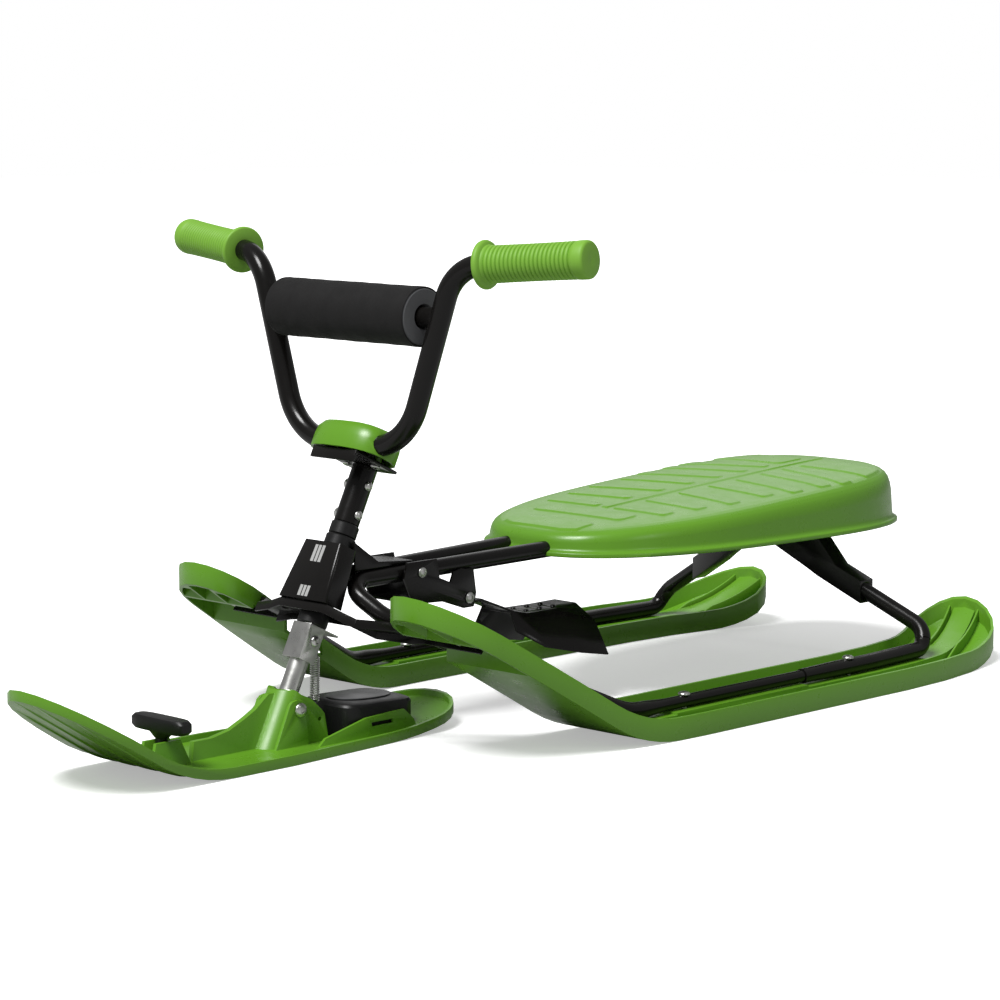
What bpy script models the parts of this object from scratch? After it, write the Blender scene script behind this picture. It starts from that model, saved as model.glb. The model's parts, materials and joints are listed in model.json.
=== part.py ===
"""Steering sled: a steel tube frame on two plastic runners, a steered front ski, seat, brake and tow reel.

Metres, +Z up. The sled travels towards -Y and +X is the rider's left. The origin is on the ground under
the middle of the sled. Steered pieces hang on an empty on the raked steering axis, the front ski on an
empty at its pitch pin, the brake on its axle, the tow handle and the reel drum on empties of their own.
"""
import math

import bmesh
import bpy
from mathutils import Matrix, Vector

GAP = 0.0003
MERGE = 0.000005
PIPE_SIDES = 16
BOLT_SIDES = 8
TUBE_DETAIL = 3
BEND_STEP = math.radians(13)
ROD_TURN = math.radians(7)

# overall places along the sled
RUNNER_FRONT_Y = -0.265
RUNNER_REAR_Y = 0.5925
SKI_FRONT_Y = -0.5925
SKI_REAR_Y = -0.0775

# steering axis
RAKE = math.radians(26.3)
AXIS_FOOT_Y = -0.3014

# side runners
RUNNER_WIDTH = 0.111
RUNNER_TRACK = 0.197
RUNNER_BAND = 0.0225
RUNNER_WALL = 0.0035
RUNNER_FLOOR = 0.004
RUNNER_BED_WIDTH = 0.028
RUNNER_BED_FRONT_Y = -0.030
TUBE_HEIGHT = 0.0220
RUNNER_RISE_Y = 0.0030
RUNNER_RISE_RADIUS = 0.155
RUNNER_RISE_ANGLE = math.radians(31.5)
RUNNER_TAIL_Y = RUNNER_REAR_Y - 0.105
RUNNER_TAIL_RADIUS = 0.166
RUNNER_TOE_IN = 0.034
RUNNER_TOE_Y = 0.0675
RUNNER_HEEL_IN = 0.0255
RUNNER_HEEL_Y = 0.3600
CHANNEL_FRONT_Y = -0.1725
POCKET_FRONT_Y = -0.2265
POCKET_REAR_Y = -0.1775
NOTCH_REAR_Y = -0.1160
RIB_THICKNESS = 0.003
RIB_OFFSET = 0.017

# frame tubes
TUBE_RADIUS = 0.0085
CHANNEL_TUBE_RADIUS = 0.0064
RAIL_X = 0.0242
RAIL_SPREAD = 0.0433
RAIL_Z = 0.1564
RAIL_SLOPE = 0.0178
RAIL_REAR_Y = 0.437
RAIL_BEND_Y = -0.2185
CHANNEL_TUBE_REAR_Y = 0.285
NECK_FRONT_Y = 0.005
NECK_REAR_Y = 0.045
LEG_FRONT_Y = 0.252

# rear arch
ARCH_HALF_WIDTH = 0.120
ARCH_THICKNESS = 0.0216
ARCH_SADDLE_HALF = 0.058
LEG_TOP_X = 0.062

# steering parts
COLUMN_RADIUS = 0.0095
COLUMN_BORE = 0.0070
STEM_RADIUS = 0.0125
HEAD_RADIUS = 0.0150
HEAD_WALL = 0.0018
HEAD_HIGH = 0.2050
CROSS_TOP = 0.1445
CROSS_SHEET = 0.0025
CROSS_FLANGE = 0.009
CROSS_HALF = 0.0165
CROSS_MIDDLE_HALF = 0.0210
ARM_BOLT_X = 0.1590
CROSS_END_X = ARM_BOLT_X + 0.016
ARM_END_Y = -0.2000
BUSH_FLANGE_RADIUS = 0.0148
BUSH_LOW_LENGTH = 0.0160
BUSH_HIGH_LENGTH = 0.0110
COLLAR_LENGTH = 0.0130
COLUMN_LOW = 0.0300
COLUMN_HIGH = 0.2850
CLAMP_SHEET = 0.0030
STEM_BOLTS = (0.2395, 0.2697)
FORK_BOLT_S = 0.1110
FORK_SHEET = 0.0020
FORK_HALF_WIDTH = COLUMN_RADIUS + 0.0008 + FORK_SHEET
CLAMP_SCREW_X = 0.0200
CLAMP_SCREW_T = -0.0065
CAP_HALF_X = 0.0480
CAP_HALF_T = 0.0300
CAP_MIDDLE_T = -0.0205
CAP_TOP = 0.3215
CAP_SCREW_TIP = CAP_TOP - 0.0085

# bolts of the frame
BOLT_RADIUS = 0.0030
BOLT_PROUD = 0.0020
CHANNEL_BOLT_Y = 0.0700
LEG_BOLT_Y = 0.3287
BRACKET_BOLT = (-0.1280, RAIL_Z - RAIL_SLOPE * 0.1280)

# handlebar
BAR_RADIUS = 0.0104
BAR_Y = -0.1925
BAR_Z = 0.2835
BAR_CORNER_X = 0.0757
BAR_SHOULDER = (0.1355, -0.1865, 0.4590)
BAR_END = (0.2745, -0.1571, 0.4697)
BAR_BEND = 0.062
SHOULDER_BEND = 0.047
PAD_Z = 0.4100
PAD_HALF_LENGTH = 0.0965
PAD_FOAM_RADIUS = 0.0272
PAD_COVER_WALL = 0.0014
CROSSBAR_RADIUS = 0.0098
GRIP_FLANGE_X = 0.1666
GRIP_FLANGE_RADIUS = 0.0230
GRIP_FLANGE_LENGTH = 0.0060
GRIP_RADIUS = 0.0168
GRIP_RIB = 0.0012
GRIP_RIBS = 10
GRIP_SIDES = 12
GRIP_END_WALL = 0.0050

# front ski
SKI_HALF_WIDTH = 0.0705
SKI_TAIL_HALF_WIDTH = 0.057
SKI_NOSE_LENGTH = 0.0925
SKI_TAIL_LENGTH = 0.0575
SKI_RIM = 0.010
SKI_RIM_WALL = 0.004
SKI_DECK = 0.0045
FENCE_WALL = 0.0032
CLIP_WALL = 0.0038
SKI_NOSE_Y = -0.4035
SKI_NOSE_RADIUS = 0.170
SKI_NOSE_ANGLE = math.radians(32.0)
SKI_HEEL_Y = -0.200
SKI_HEEL_RADIUS = 0.440
PITCH_PIN_S = 0.0435
CHEEK_INNER = 0.0108
CHEEK_OUTER = 0.0215
CHEEK_BOSS = 0.0025
TOWER_TOP_Z = 0.0575
TOWER_REAR_Y = -0.2360
TOWER_AHEAD = 0.0220
TOWER_TURN = 20
SOCKET_AHEAD = 0.0173
FIN_HALF = 0.0030
PIN_RADIUS = 0.0040

# spring behind the column
SPRING_RADIUS = 0.0041
SPRING_WIRE = 0.00075
SPRING_TURNS = 20
SPRING_POINTS_PER_TURN = 8
SPRING_X = 0.0030
SPRING_TOP = (-0.2440, 0.0830)
SPRING_FOOT = (-0.2450, 0.0400)
SPRING_HOLE = (-0.2551, 0.0263)
SPRING_HOLE_RADIUS = 0.0022

# tow reel and handle
REEL_FRONT_Y = -0.2310
REEL_REAR_Y = -0.1390
REEL_HALF_WIDTH = 0.037
REEL_WALL = 0.0025
REEL_TOP_Z = 0.0365
REEL_SLOPE = 0.035
DRUM_RADIUS = 0.031
DRUM_BOTTOM_Z = 0.0090
DRUM_HEIGHT = 0.0130
REEL_AXLE_RADIUS = 0.0030
TOW_Y = -0.4320
TOW_Z = 0.0445
TOW_HALF_LENGTH = 0.0375
TOW_STEM_RADIUS = 0.006

# seat
SEAT_FRONT_Y = 0.041
SEAT_REAR_Y = 0.570
SEAT_HALF_WIDTH = 0.1385
SEAT_LIP_FRONT = 0.1515
SEAT_LIP_DROP = 0.0065
SEAT_TOP_FRONT = 0.1755
SEAT_TOP_RISE = 0.0325
SEAT_WALL = 0.0032
SEAT_SIDES = 36
SEAT_BOSS_YS = (0.135, 0.345)
SEAT_BOSS_WIDTH = 0.026
SEAT_BOSS_LENGTH = 0.030
SEAT_SCREW_RADIUS = 0.0025
SEAT_SCREW_BITE = 0.0110

# brake
BRAKE_AXLE = (-0.0628, 0.1215)
BRAKE_AXLE_RADIUS = 0.0035
BRAKE_EAR_INNER = 0.0290
BRAKE_EAR_WALL = 0.0022
BRAKE_PLATE = 0.0025
BRAKE_WEB_Z = 0.1240
BRAKE_NECK_Z = 0.1160
BRAKE_SPRING_WIRE = 0.0008
BRAKE_SPRING_TURNS = 5
BRAKE_SPRING_LENGTH = 0.0140

GREEN = ("green_plastic", (0.115, 0.355, 0.030), 0.38, 0.0)
BLACK_PAINT = ("black_paint", (0.012, 0.011, 0.011), 0.25, 0.0)
BLACK_PLASTIC = ("black_plastic", (0.018, 0.018, 0.018), 0.50, 0.0)
ZINC = ("zinc_steel", (0.560, 0.560, 0.545), 0.34, 1.0)
FOAM = ("grey_foam", (0.060, 0.060, 0.065), 0.95, 0.0)
FABRIC = ("black_fabric", (0.014, 0.014, 0.015), 0.90, 0.0)
BADGE = ("grey_badge", (0.110, 0.112, 0.115), 0.45, 0.0)

AXIS_FOOT = Vector((0.0, AXIS_FOOT_Y, 0.0))
COLUMN = Matrix.Translation(AXIS_FOOT) @ Matrix.Rotation(-RAKE, 4, "X")
PITCH_PIN = COLUMN @ Vector((0.0, 0.0, PITCH_PIN_S))


# scene and material helpers
def clear_scene():
    for item in list(bpy.data.objects):
        bpy.data.objects.remove(item, do_unlink=True)


def material(spec):
    name, colour, roughness, metallic = spec
    found = bpy.data.materials.get(name)
    if found:
        return found
    made = bpy.data.materials.new(name)
    made.use_nodes = True
    shader = made.node_tree.nodes["Principled BSDF"]
    shader.inputs["Base Color"].default_value = (*colour, 1.0)
    shader.inputs["Roughness"].default_value = roughness
    shader.inputs["Metallic"].default_value = metallic
    made.diffuse_color = (*colour, 1.0)
    return made


def add_object(name, mesh):
    made = bpy.data.objects.new(name, mesh)
    bpy.context.scene.collection.objects.link(made)
    return made


def from_bmesh(name, bm):
    bmesh.ops.recalc_face_normals(bm, faces=bm.faces)
    mesh = bpy.data.meshes.new(name)
    bm.to_mesh(mesh)
    bm.free()
    return add_object(name, mesh)


def evaluated_mesh(item):
    graph = bpy.context.evaluated_depsgraph_get()
    graph.update()
    return bpy.data.meshes.new_from_object(item.evaluated_get(graph))


def weld(mesh):
    """Merge points that lie on each other and drop the slivers between them."""
    bm = bmesh.new()
    bm.from_mesh(mesh)
    bmesh.ops.remove_doubles(bm, verts=bm.verts, dist=MERGE)
    bmesh.ops.dissolve_degenerate(bm, edges=bm.edges, dist=MERGE)
    bm.to_mesh(mesh)
    bm.free()
    return mesh


def boolean(target, tools, operation):
    for tool in tools:
        step = target.modifiers.new(operation.lower(), "BOOLEAN")
        step.operation = operation
        step.solver = "EXACT"
        step.object = tool
        mesh = evaluated_mesh(target)
        target.modifiers.clear()
        target.data = weld(mesh)
        bpy.data.objects.remove(tool, do_unlink=True)
    return target


def cut(target, *tools):
    return boolean(target, tools, "DIFFERENCE")


def fuse(target, *tools):
    return boolean(target, tools, "UNION")


def finish(item, spec, smooth=math.radians(35)):
    item.data.materials.clear()
    item.data.materials.append(material(spec))
    item.data.shade_smooth()
    item.data.set_sharp_from_angle(angle=smooth)
    return item


def place(item, matrix):
    item.data.transform(matrix)
    item.data.update()
    return item


def mirrored(item, name):
    """A copy on the other side of the sled, with its faces turned to point outwards."""
    mesh = item.data.copy()
    mesh.transform(Matrix.Scale(-1.0, 4, (1.0, 0.0, 0.0)))
    mesh.flip_normals()
    return add_object(name, mesh)


# shape helpers
def box(low, high, name="box"):
    bm = bmesh.new()
    bmesh.ops.create_cube(bm, size=1.0)
    size = Vector(high) - Vector(low)
    middle = (Vector(high) + Vector(low)) / 2
    bmesh.ops.scale(bm, vec=size, verts=bm.verts)
    bmesh.ops.translate(bm, vec=middle, verts=bm.verts)
    return from_bmesh(name, bm)


def prism(outline, low, high, axis="Z", name="prism"):
    """A flat outline pushed along one axis: its points are XY for Z, and YZ for X."""
    bm = bmesh.new()
    place_point = {"Z": lambda a, b, c: (a, b, c), "X": lambda a, b, c: (c, a, b)}[axis]
    lower = [bm.verts.new(place_point(a, b, low)) for a, b in outline]
    face = bm.faces.new(lower)
    pushed = bmesh.ops.extrude_face_region(bm, geom=[face])
    step = Vector(place_point(0.0, 0.0, high - low))
    moved = [item for item in pushed["geom"] if isinstance(item, bmesh.types.BMVert)]
    bmesh.ops.translate(bm, vec=step, verts=moved)
    return from_bmesh(name, bm)


def loft(rings, name, closed=False):
    """Skin a row of rings that have the same number of points, and cap both ends."""
    bm = bmesh.new()
    made = [[bm.verts.new(point) for point in ring] for ring in rings]
    count = len(rings[0])
    pairs = list(zip(made, made[1:]))
    if closed:
        pairs.append((made[-1], made[0]))
    for first, second in pairs:
        for i in range(count):
            j = (i + 1) % count
            bm.faces.new((first[i], first[j], second[j], second[i]))
    if not closed:
        bm.faces.new(made[0])
        bm.faces.new(made[-1])
    return from_bmesh(name, bm)


def circle_points(radius, sides, turn=0.0):
    steps = [turn + 2 * math.pi * i / sides for i in range(sides)]
    return [(radius * math.cos(a), radius * math.sin(a)) for a in steps]


def along(start, end):
    """The matrix that puts local +Z along a line, with the local origin at its start."""
    direction = Vector(end) - Vector(start)
    return Matrix.Translation(Vector(start)) @ direction.to_track_quat("Z", "Y").to_matrix().to_4x4()


def turned(profile, sides, name="turned"):
    """Turn an outline of (radius, height) points about Z.

    A radius of 0 makes a pole. An outline that starts or ends off the axis is closed back to its start.
    """
    bm = bmesh.new()
    columns = []
    for radius, height in profile:
        if radius < 1e-7:
            pole = bm.verts.new((0.0, 0.0, height))
            columns.append([pole] * sides)
        else:
            columns.append([bm.verts.new((x, y, height)) for x, y in circle_points(radius, sides)])
    pairs = list(zip(columns, columns[1:]))
    if profile[0][0] > 1e-7:
        pairs.append((columns[-1], columns[0]))
    for first, second in pairs:
        for i in range(sides):
            j = (i + 1) % sides
            corners = []
            for corner in (first[i], first[j], second[j], second[i]):
                if corner not in corners:
                    corners.append(corner)
            if len(corners) > 2:
                bm.faces.new(corners)
    return from_bmesh(name, bm)


def rod(start, end, radius, sides=BOLT_SIDES, name="rod"):
    """A solid rod, turned a little so that its edges don't fall on those of the piece that it cuts."""
    length = (Vector(end) - Vector(start)).length
    made = turned([(0, 0), (radius, 0), (radius, length), (0, length)], sides, name)
    return place(made, along(start, end) @ Matrix.Rotation(ROD_TURN, 4, "Z"))


def pipe(start, end, outer, inner, sides=PIPE_SIDES, name="pipe"):
    length = (Vector(end) - Vector(start)).length
    made = turned([(inner, 0), (outer, 0), (outer, length), (inner, length)], sides, name)
    return place(made, along(start, end))


def column_pipe(low, high, outer, inner):
    profile = [(inner, low), (outer, low), (outer, high), (inner, high)]
    return place(turned(profile, PIPE_SIDES), COLUMN)


def column_rod(low, high, radius):
    """A solid rod on the column's axis whose flats clear a round of that radius."""
    reach = radius / math.cos(math.pi / PIPE_SIDES)
    return place(turned([(0, low), (reach, low), (reach, high), (0, high)], PIPE_SIDES), COLUMN)


def rounded_path(corners, bends, step=BEND_STEP):
    """A path through corners whose bends are arcs: one bend radius for each inner corner."""
    points = [Vector(corners[0])]
    for before, corner, after, bend in zip(corners, corners[1:], corners[2:], bends):
        corner = Vector(corner)
        back = (Vector(before) - corner).normalized()
        ahead = (Vector(after) - corner).normalized()
        turn = math.pi - back.angle(ahead)
        reach = bend * math.tan(turn / 2)
        middle = corner + (back + ahead).normalized() * (bend / math.cos(turn / 2))
        first = corner + back * reach - middle
        last = corner + ahead * reach - middle
        count = max(2, math.ceil(turn / step))
        for i in range(count + 1):
            share = i / count
            a = math.sin((1 - share) * turn) / math.sin(turn)
            b = math.sin(share * turn) / math.sin(turn)
            points.append(middle + first * a + last * b)
    points.append(Vector(corners[-1]))
    return points


def bent_rod(points, radius, name, sides_step=2, scale_of=None):
    """A rod along a path, made as a curve with a round bevel and filled caps."""
    curve = bpy.data.curves.new(name, "CURVE")
    curve.dimensions = "3D"
    curve.bevel_depth = radius
    curve.bevel_resolution = sides_step
    curve.use_fill_caps = True
    spline = curve.splines.new("POLY")
    spline.points.add(len(points) - 1)
    for slot, point in zip(spline.points, points):
        slot.co = (*point, 1.0)
        if scale_of:
            slot.radius = scale_of(point)
    item = add_object(name, curve)
    mesh = evaluated_mesh(item)
    bpy.data.objects.remove(item, do_unlink=True)
    bpy.data.curves.remove(curve)
    return add_object(name, weld(mesh))


def screw(head, tip, shank, head_radius, head_height, sides=BOLT_SIDES):
    """A round-headed screw or bolt: the head sits just above its seat and the shank runs to the tip."""
    length = (Vector(tip) - Vector(head)).length
    dome = 0.6 * head_radius
    profile = [(0, -head_height), (dome, -head_height), (head_radius, -head_height * 0.45),
               (head_radius, 0), (shank, 0), (shank, length), (0, length)]
    return place(turned(profile, sides), along(head, tip))


def bolt_and_nut(first, second, shank, head_radius, head_height, nut_radius, nut_height):
    """A bolt through two outer faces: its head lies on the first and its nut on the second."""
    first, second = Vector(first), Vector(second)
    direction = (second - first).normalized()
    seat = first - direction * GAP
    stop = second + direction * GAP
    nut_end = stop + direction * nut_height
    bolt = screw(seat, nut_end + direction * BOLT_PROUD, shank, head_radius, head_height)
    hexagon_bore = (shank + GAP) / math.cos(math.pi / 6)
    return bolt, pipe(stop, nut_end, nut_radius, hexagon_bore, 6)


# side runners
def runner_lift(y):
    """Height of the runner's underside above the snow."""
    if y < RUNNER_RISE_Y:
        run = RUNNER_RISE_Y - y
        arc = RUNNER_RISE_RADIUS * math.sin(RUNNER_RISE_ANGLE)
        if run < arc:
            return RUNNER_RISE_RADIUS - math.sqrt(RUNNER_RISE_RADIUS ** 2 - run ** 2)
        top = RUNNER_RISE_RADIUS * (1 - math.cos(RUNNER_RISE_ANGLE))
        return top + (run - arc) * math.tan(RUNNER_RISE_ANGLE)
    if y > RUNNER_TAIL_Y:
        run = y - RUNNER_TAIL_Y
        return RUNNER_TAIL_RADIUS - math.sqrt(RUNNER_TAIL_RADIUS ** 2 - run ** 2)
    return 0.0


def runner_centre(y):
    """The runner's middle line bends inwards at both ends."""
    front = RUNNER_FRONT_Y + RUNNER_WIDTH / 2
    rear = RUNNER_REAR_Y - RUNNER_WIDTH / 2
    if y < RUNNER_TOE_Y:
        return RUNNER_TRACK - RUNNER_TOE_IN * ((RUNNER_TOE_Y - y) / (RUNNER_TOE_Y - front)) ** 2
    if y > RUNNER_HEEL_Y:
        return RUNNER_TRACK - RUNNER_HEEL_IN * ((y - RUNNER_HEEL_Y) / (rear - RUNNER_HEEL_Y)) ** 2
    return RUNNER_TRACK


def runner_half(y, inset):
    """Half width of the runner's plan at y: straight sides with round ends, less an inset."""
    round_radius = RUNNER_WIDTH / 2 - inset
    front = RUNNER_FRONT_Y + RUNNER_WIDTH / 2
    rear = RUNNER_REAR_Y - RUNNER_WIDTH / 2
    past = max(front - y, y - rear, 0.0)
    return math.sqrt(max(round_radius ** 2 - past ** 2, 0.0))


def runner_stations(low, high, inset):
    """Places along the runner, closer together round its ends."""
    front = RUNNER_FRONT_Y + RUNNER_WIDTH / 2
    rear = RUNNER_REAR_Y - RUNNER_WIDTH / 2
    radius = RUNNER_WIDTH / 2 - inset
    rounds = [math.radians(a) for a in (90, 72, 54, 36, 18, 0)]
    places = [front - radius * math.sin(a) for a in rounds] + [rear + radius * math.sin(a) for a in rounds]
    inside = sorted(y for y in places if low + 0.002 < y < high - 0.002)
    return [low, *inside, high]


def runner_area(low, high, left, right, inset):
    """Plan outline of the runner between two places and two lines, less an inset."""
    low = max(low, RUNNER_FRONT_Y + inset)
    high = min(high, RUNNER_REAR_Y - inset)
    rows = [(y, runner_half(y, inset)) for y in runner_stations(low, high, inset)]
    rows = [(max(left, -half), min(right, half), y) for y, half in rows]
    wide = [row for row in rows if row[1] - row[0] > 1e-6]
    up = [(high_x, y) for _, high_x, y in wide]
    down = [(low_x, y) for low_x, _, y in wide]
    if left <= 0 <= right:
        up = [(0.0, y) for _, _, y in rows[:1] if runner_half(y, inset) < 1e-6] + up
        up += [(0.0, y) for _, _, y in rows[-1:] if runner_half(y, inset) < 1e-6]
    return up + down[::-1]


def bend_runner(item):
    """Slice the straight runner across and move it into its curves."""
    bm = bmesh.new()
    bm.from_mesh(item.data)
    slices = [RUNNER_RISE_Y - i * 0.0135 for i in range(7)]
    slices += [-0.115, -0.150, 0.040, 0.2875, 0.36, 0.43]
    slices += [RUNNER_TAIL_Y + i * 0.0165 for i in range(6)]
    for y in slices:
        geometry = bm.verts[:] + bm.edges[:] + bm.faces[:]
        bmesh.ops.bisect_plane(bm, geom=geometry, dist=1e-6, plane_co=(0, y, 0), plane_no=(0, 1, 0))
    bmesh.ops.triangulate(bm, faces=bm.faces)
    for vertex in bm.verts:
        y = vertex.co.y
        vertex.co.x += runner_centre(y)
        vertex.co.z += runner_lift(y)
    bm.to_mesh(item.data)
    bm.free()
    return item


def runner_slope_frame(x, y, height):
    """A matrix on the rising front of the runner: +Z is square to its plate."""
    turn = Matrix.Rotation(-RUNNER_RISE_ANGLE, 4, "X")
    return Matrix.Translation((x, y, runner_lift(y) + height)) @ turn


def make_runner():
    half = RUNNER_WIDTH / 2
    wall = RUNNER_WALL
    over = RUNNER_BAND + 0.005
    under = -0.010
    ceiling = RUNNER_BAND - RUNNER_FLOOR
    bed = RUNNER_BED_WIDTH / 2
    high_bed = TUBE_HEIGHT - CHANNEL_TUBE_RADIUS - GAP
    low_bed = TUBE_HEIGHT - TUBE_RADIUS - GAP
    rib = RIB_THICKNESS / 2
    body = prism(runner_area(RUNNER_FRONT_Y, RUNNER_REAR_Y, -half, half, 0.0), 0.0, RUNNER_BAND)
    cavities = [
        (CHANNEL_FRONT_Y, RUNNER_BED_FRONT_Y, -half, half, RUNNER_FLOOR, over),
        (RUNNER_BED_FRONT_Y - 0.001, RUNNER_REAR_Y, -half, -bed, RUNNER_FLOOR, over),
        (RUNNER_BED_FRONT_Y - 0.001, RUNNER_REAR_Y, bed, half, RUNNER_FLOOR, over),
        (RUNNER_BED_FRONT_Y - 0.001, NECK_REAR_Y, -bed - 0.001, bed + 0.001, low_bed, over),
        (NECK_REAR_Y - 0.001, LEG_FRONT_Y - 0.004, -bed - 0.001, bed + 0.001, high_bed, over),
        (LEG_FRONT_Y - 0.005, RUNNER_REAR_Y, -bed - 0.001, bed + 0.001, low_bed, over),
        (RUNNER_FRONT_Y, POCKET_FRONT_Y - wall, -half, -RIB_OFFSET - rib, under, ceiling),
        (RUNNER_FRONT_Y, POCKET_FRONT_Y - wall, -RIB_OFFSET + rib, RIB_OFFSET - rib, under, ceiling),
        (RUNNER_FRONT_Y, POCKET_FRONT_Y - wall, RIB_OFFSET + rib, half, under, ceiling),
        (POCKET_FRONT_Y, POCKET_REAR_Y, -half, half, under, ceiling),
    ]
    tools = [prism(runner_area(low, high, left, right, wall), bottom, top)
             for low, high, left, right, bottom, top in cavities]
    inside = -half + 2 * wall + 0.001
    tools.append(box((-half - 0.01, POCKET_FRONT_Y, under), (inside, POCKET_REAR_Y, ceiling)))
    tools.append(box((-half - 0.01, CHANNEL_FRONT_Y, RUNNER_FLOOR), (inside, NOTCH_REAR_Y, over)))
    tools += [rod((0, y, RUNNER_FLOOR + 0.0005), (0, y, 0.05), BOLT_RADIUS + GAP, 10)
              for y in (CHANNEL_BOLT_Y, LEG_BOLT_Y)]
    runner = bend_runner(cut(body, *tools))
    frame = runner_slope_frame(ARM_BOLT_X, ARM_END_Y, RUNNER_BAND)
    return cut(runner, place(rod((0, 0, -0.02), (0, 0, 0.02), BOLT_RADIUS + GAP, 10), frame))


# frame tubes
def rail_point(y, side=1.0):
    return Vector((side * (RAIL_X + RAIL_SPREAD * y), y, RAIL_Z + RAIL_SLOPE * y))


def frame_path():
    corners = [rail_point(RAIL_REAR_Y), rail_point(RAIL_BEND_Y), (0.0600, -0.2060, 0.1230),
               (0.1645, -0.0957, 0.0620), (RUNNER_TRACK, -0.0120, TUBE_HEIGHT),
               (RUNNER_TRACK, CHANNEL_TUBE_REAR_Y, TUBE_HEIGHT)]
    return rounded_path(corners, [0.022, 0.040, 0.070, 0.060])


def channel_scale(point):
    """The tube is drawn down to a smaller size where it lies in the runner."""
    if point.z > 0.1:
        return 1.0
    share = min(max((point.y - NECK_FRONT_Y) / (NECK_REAR_Y - NECK_FRONT_Y), 0.0), 1.0)
    return 1.0 + (CHANNEL_TUBE_RADIUS / TUBE_RADIUS - 1.0) * share


def make_frame_tube():
    path = frame_path()
    neck = (NECK_FRONT_Y, (NECK_FRONT_Y + NECK_REAR_Y) / 2, NECK_REAR_Y)
    split = [Vector((RUNNER_TRACK, y, TUBE_HEIGHT)) for y in neck]
    path[-1:-1] = [point for point in split if point.y > path[-2].y + 0.004]
    tube = bent_rod(path, TUBE_RADIUS, "frame_tube", TUBE_DETAIL, channel_scale)
    low = Vector((RUNNER_TRACK, CHANNEL_BOLT_Y, 0.0))
    holes = [rod(low, low + Vector((0.0, 0.0, 0.05)), BOLT_RADIUS + GAP)]
    for y in SEAT_BOSS_YS:
        x = rail_point(y).x
        holes.append(rod((x, y, 0.12), (x, y, 0.2), SEAT_SCREW_RADIUS + GAP))
    x = rail_point(BRACKET_BOLT[0]).x
    holes.append(rod((x, *BRACKET_BOLT), (x + 0.02, *BRACKET_BOLT), SEAT_SCREW_RADIUS + GAP))
    holes.append(column_rod(0.12, 0.24, HEAD_RADIUS + GAP))
    return cut(tube, *holes)


LEG_FOOT = Vector((0.1905, 0.4635, TUBE_HEIGHT))
LEG_KNEE = Vector((0.1845, 0.4755, 0.0420))
LEG_TOP = Vector((LEG_TOP_X, 0.4400, 0.1085))


def make_rear_leg():
    corners = [(RUNNER_TRACK, LEG_FRONT_Y, TUBE_HEIGHT), (RUNNER_TRACK, 0.365, TUBE_HEIGHT), LEG_FOOT,
               LEG_KNEE, LEG_TOP]
    leg = bent_rod(rounded_path(corners, [0.2, 0.018, 0.024]), TUBE_RADIUS, "rear_leg", TUBE_DETAIL)
    mouth = (RUNNER_TRACK, LEG_FRONT_Y - 0.01, TUBE_HEIGHT)
    stop = (RUNNER_TRACK, CHANNEL_TUBE_REAR_Y + GAP, TUBE_HEIGHT)
    socket = rod(mouth, stop, CHANNEL_TUBE_RADIUS + GAP, PIPE_SIDES)
    bolt = rod((RUNNER_TRACK, LEG_BOLT_Y, 0.0), (RUNNER_TRACK, LEG_BOLT_Y, 0.05), BOLT_RADIUS + GAP)
    return cut(leg, socket, bolt)


def leg_line(x):
    """The straight upper part of the rear leg, carried on to any x."""
    share = (x - LEG_TOP.x) / (LEG_KNEE.x - LEG_TOP.x)
    return LEG_TOP + (LEG_KNEE - LEG_TOP) * share


def make_rear_arch():
    half = ARCH_THICKNESS / 2
    saddle = rail_point(0.43).z - TUBE_RADIUS - 0.0008
    rings = []
    rows = [(ARCH_HALF_WIDTH, 0.0120, None), (0.092, 0.0118, None), (0.072, 0.0116, 0.030),
            (ARCH_SADDLE_HALF, 0.0100, saddle), (0.0, 0.0060, saddle)]
    for x, below, above in rows + [(-x, below, above) for x, below, above in rows[-2::-1]]:
        middle = leg_line(abs(x))
        low = middle.z - below
        high = middle.z + 0.0125
        if above:
            high = above if above > 0.1 else middle.z + above
        corners = ((-half, low), (half, low), (half, high), (-half, high))
        rings.append([(x, middle.y + dy, z) for dy, z in corners])
    arch = loft(rings, "rear_arch")
    sockets = []
    for side in (1.0, -1.0):
        flip = Vector((side, 1.0, 1.0))
        inner = leg_line(LEG_TOP_X - 0.001) * flip
        sockets.append(rod(inner, leg_line(0.16) * flip, TUBE_RADIUS + GAP, PIPE_SIDES))
    return cut(arch, *sockets)


# steering head and front cross member
def cross_station(x):
    """Middle, half width and tilt of the cross member's top face at x."""
    reach = abs(x)
    middle = COLUMN @ Vector((0.0, 0.0, CROSS_TOP))
    end_z = runner_lift(ARM_END_Y) + RUNNER_BAND - RUNNER_FLOOR - GAP / math.cos(RUNNER_RISE_ANGLE)
    down = min(max((reach - 0.030) / 0.063, 0.0), 1.0)
    back = min(max((reach - 0.070) / 0.030, 0.0), 1.0)
    half = CROSS_MIDDLE_HALF if reach < 0.031 else CROSS_HALF
    y = middle.y + (ARM_END_Y - middle.y) * back
    z = middle.z + (end_z - middle.z) * down
    tilt = RAKE + (RUNNER_RISE_ANGLE - RAKE) * back
    return x, y, z, half, tilt


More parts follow.
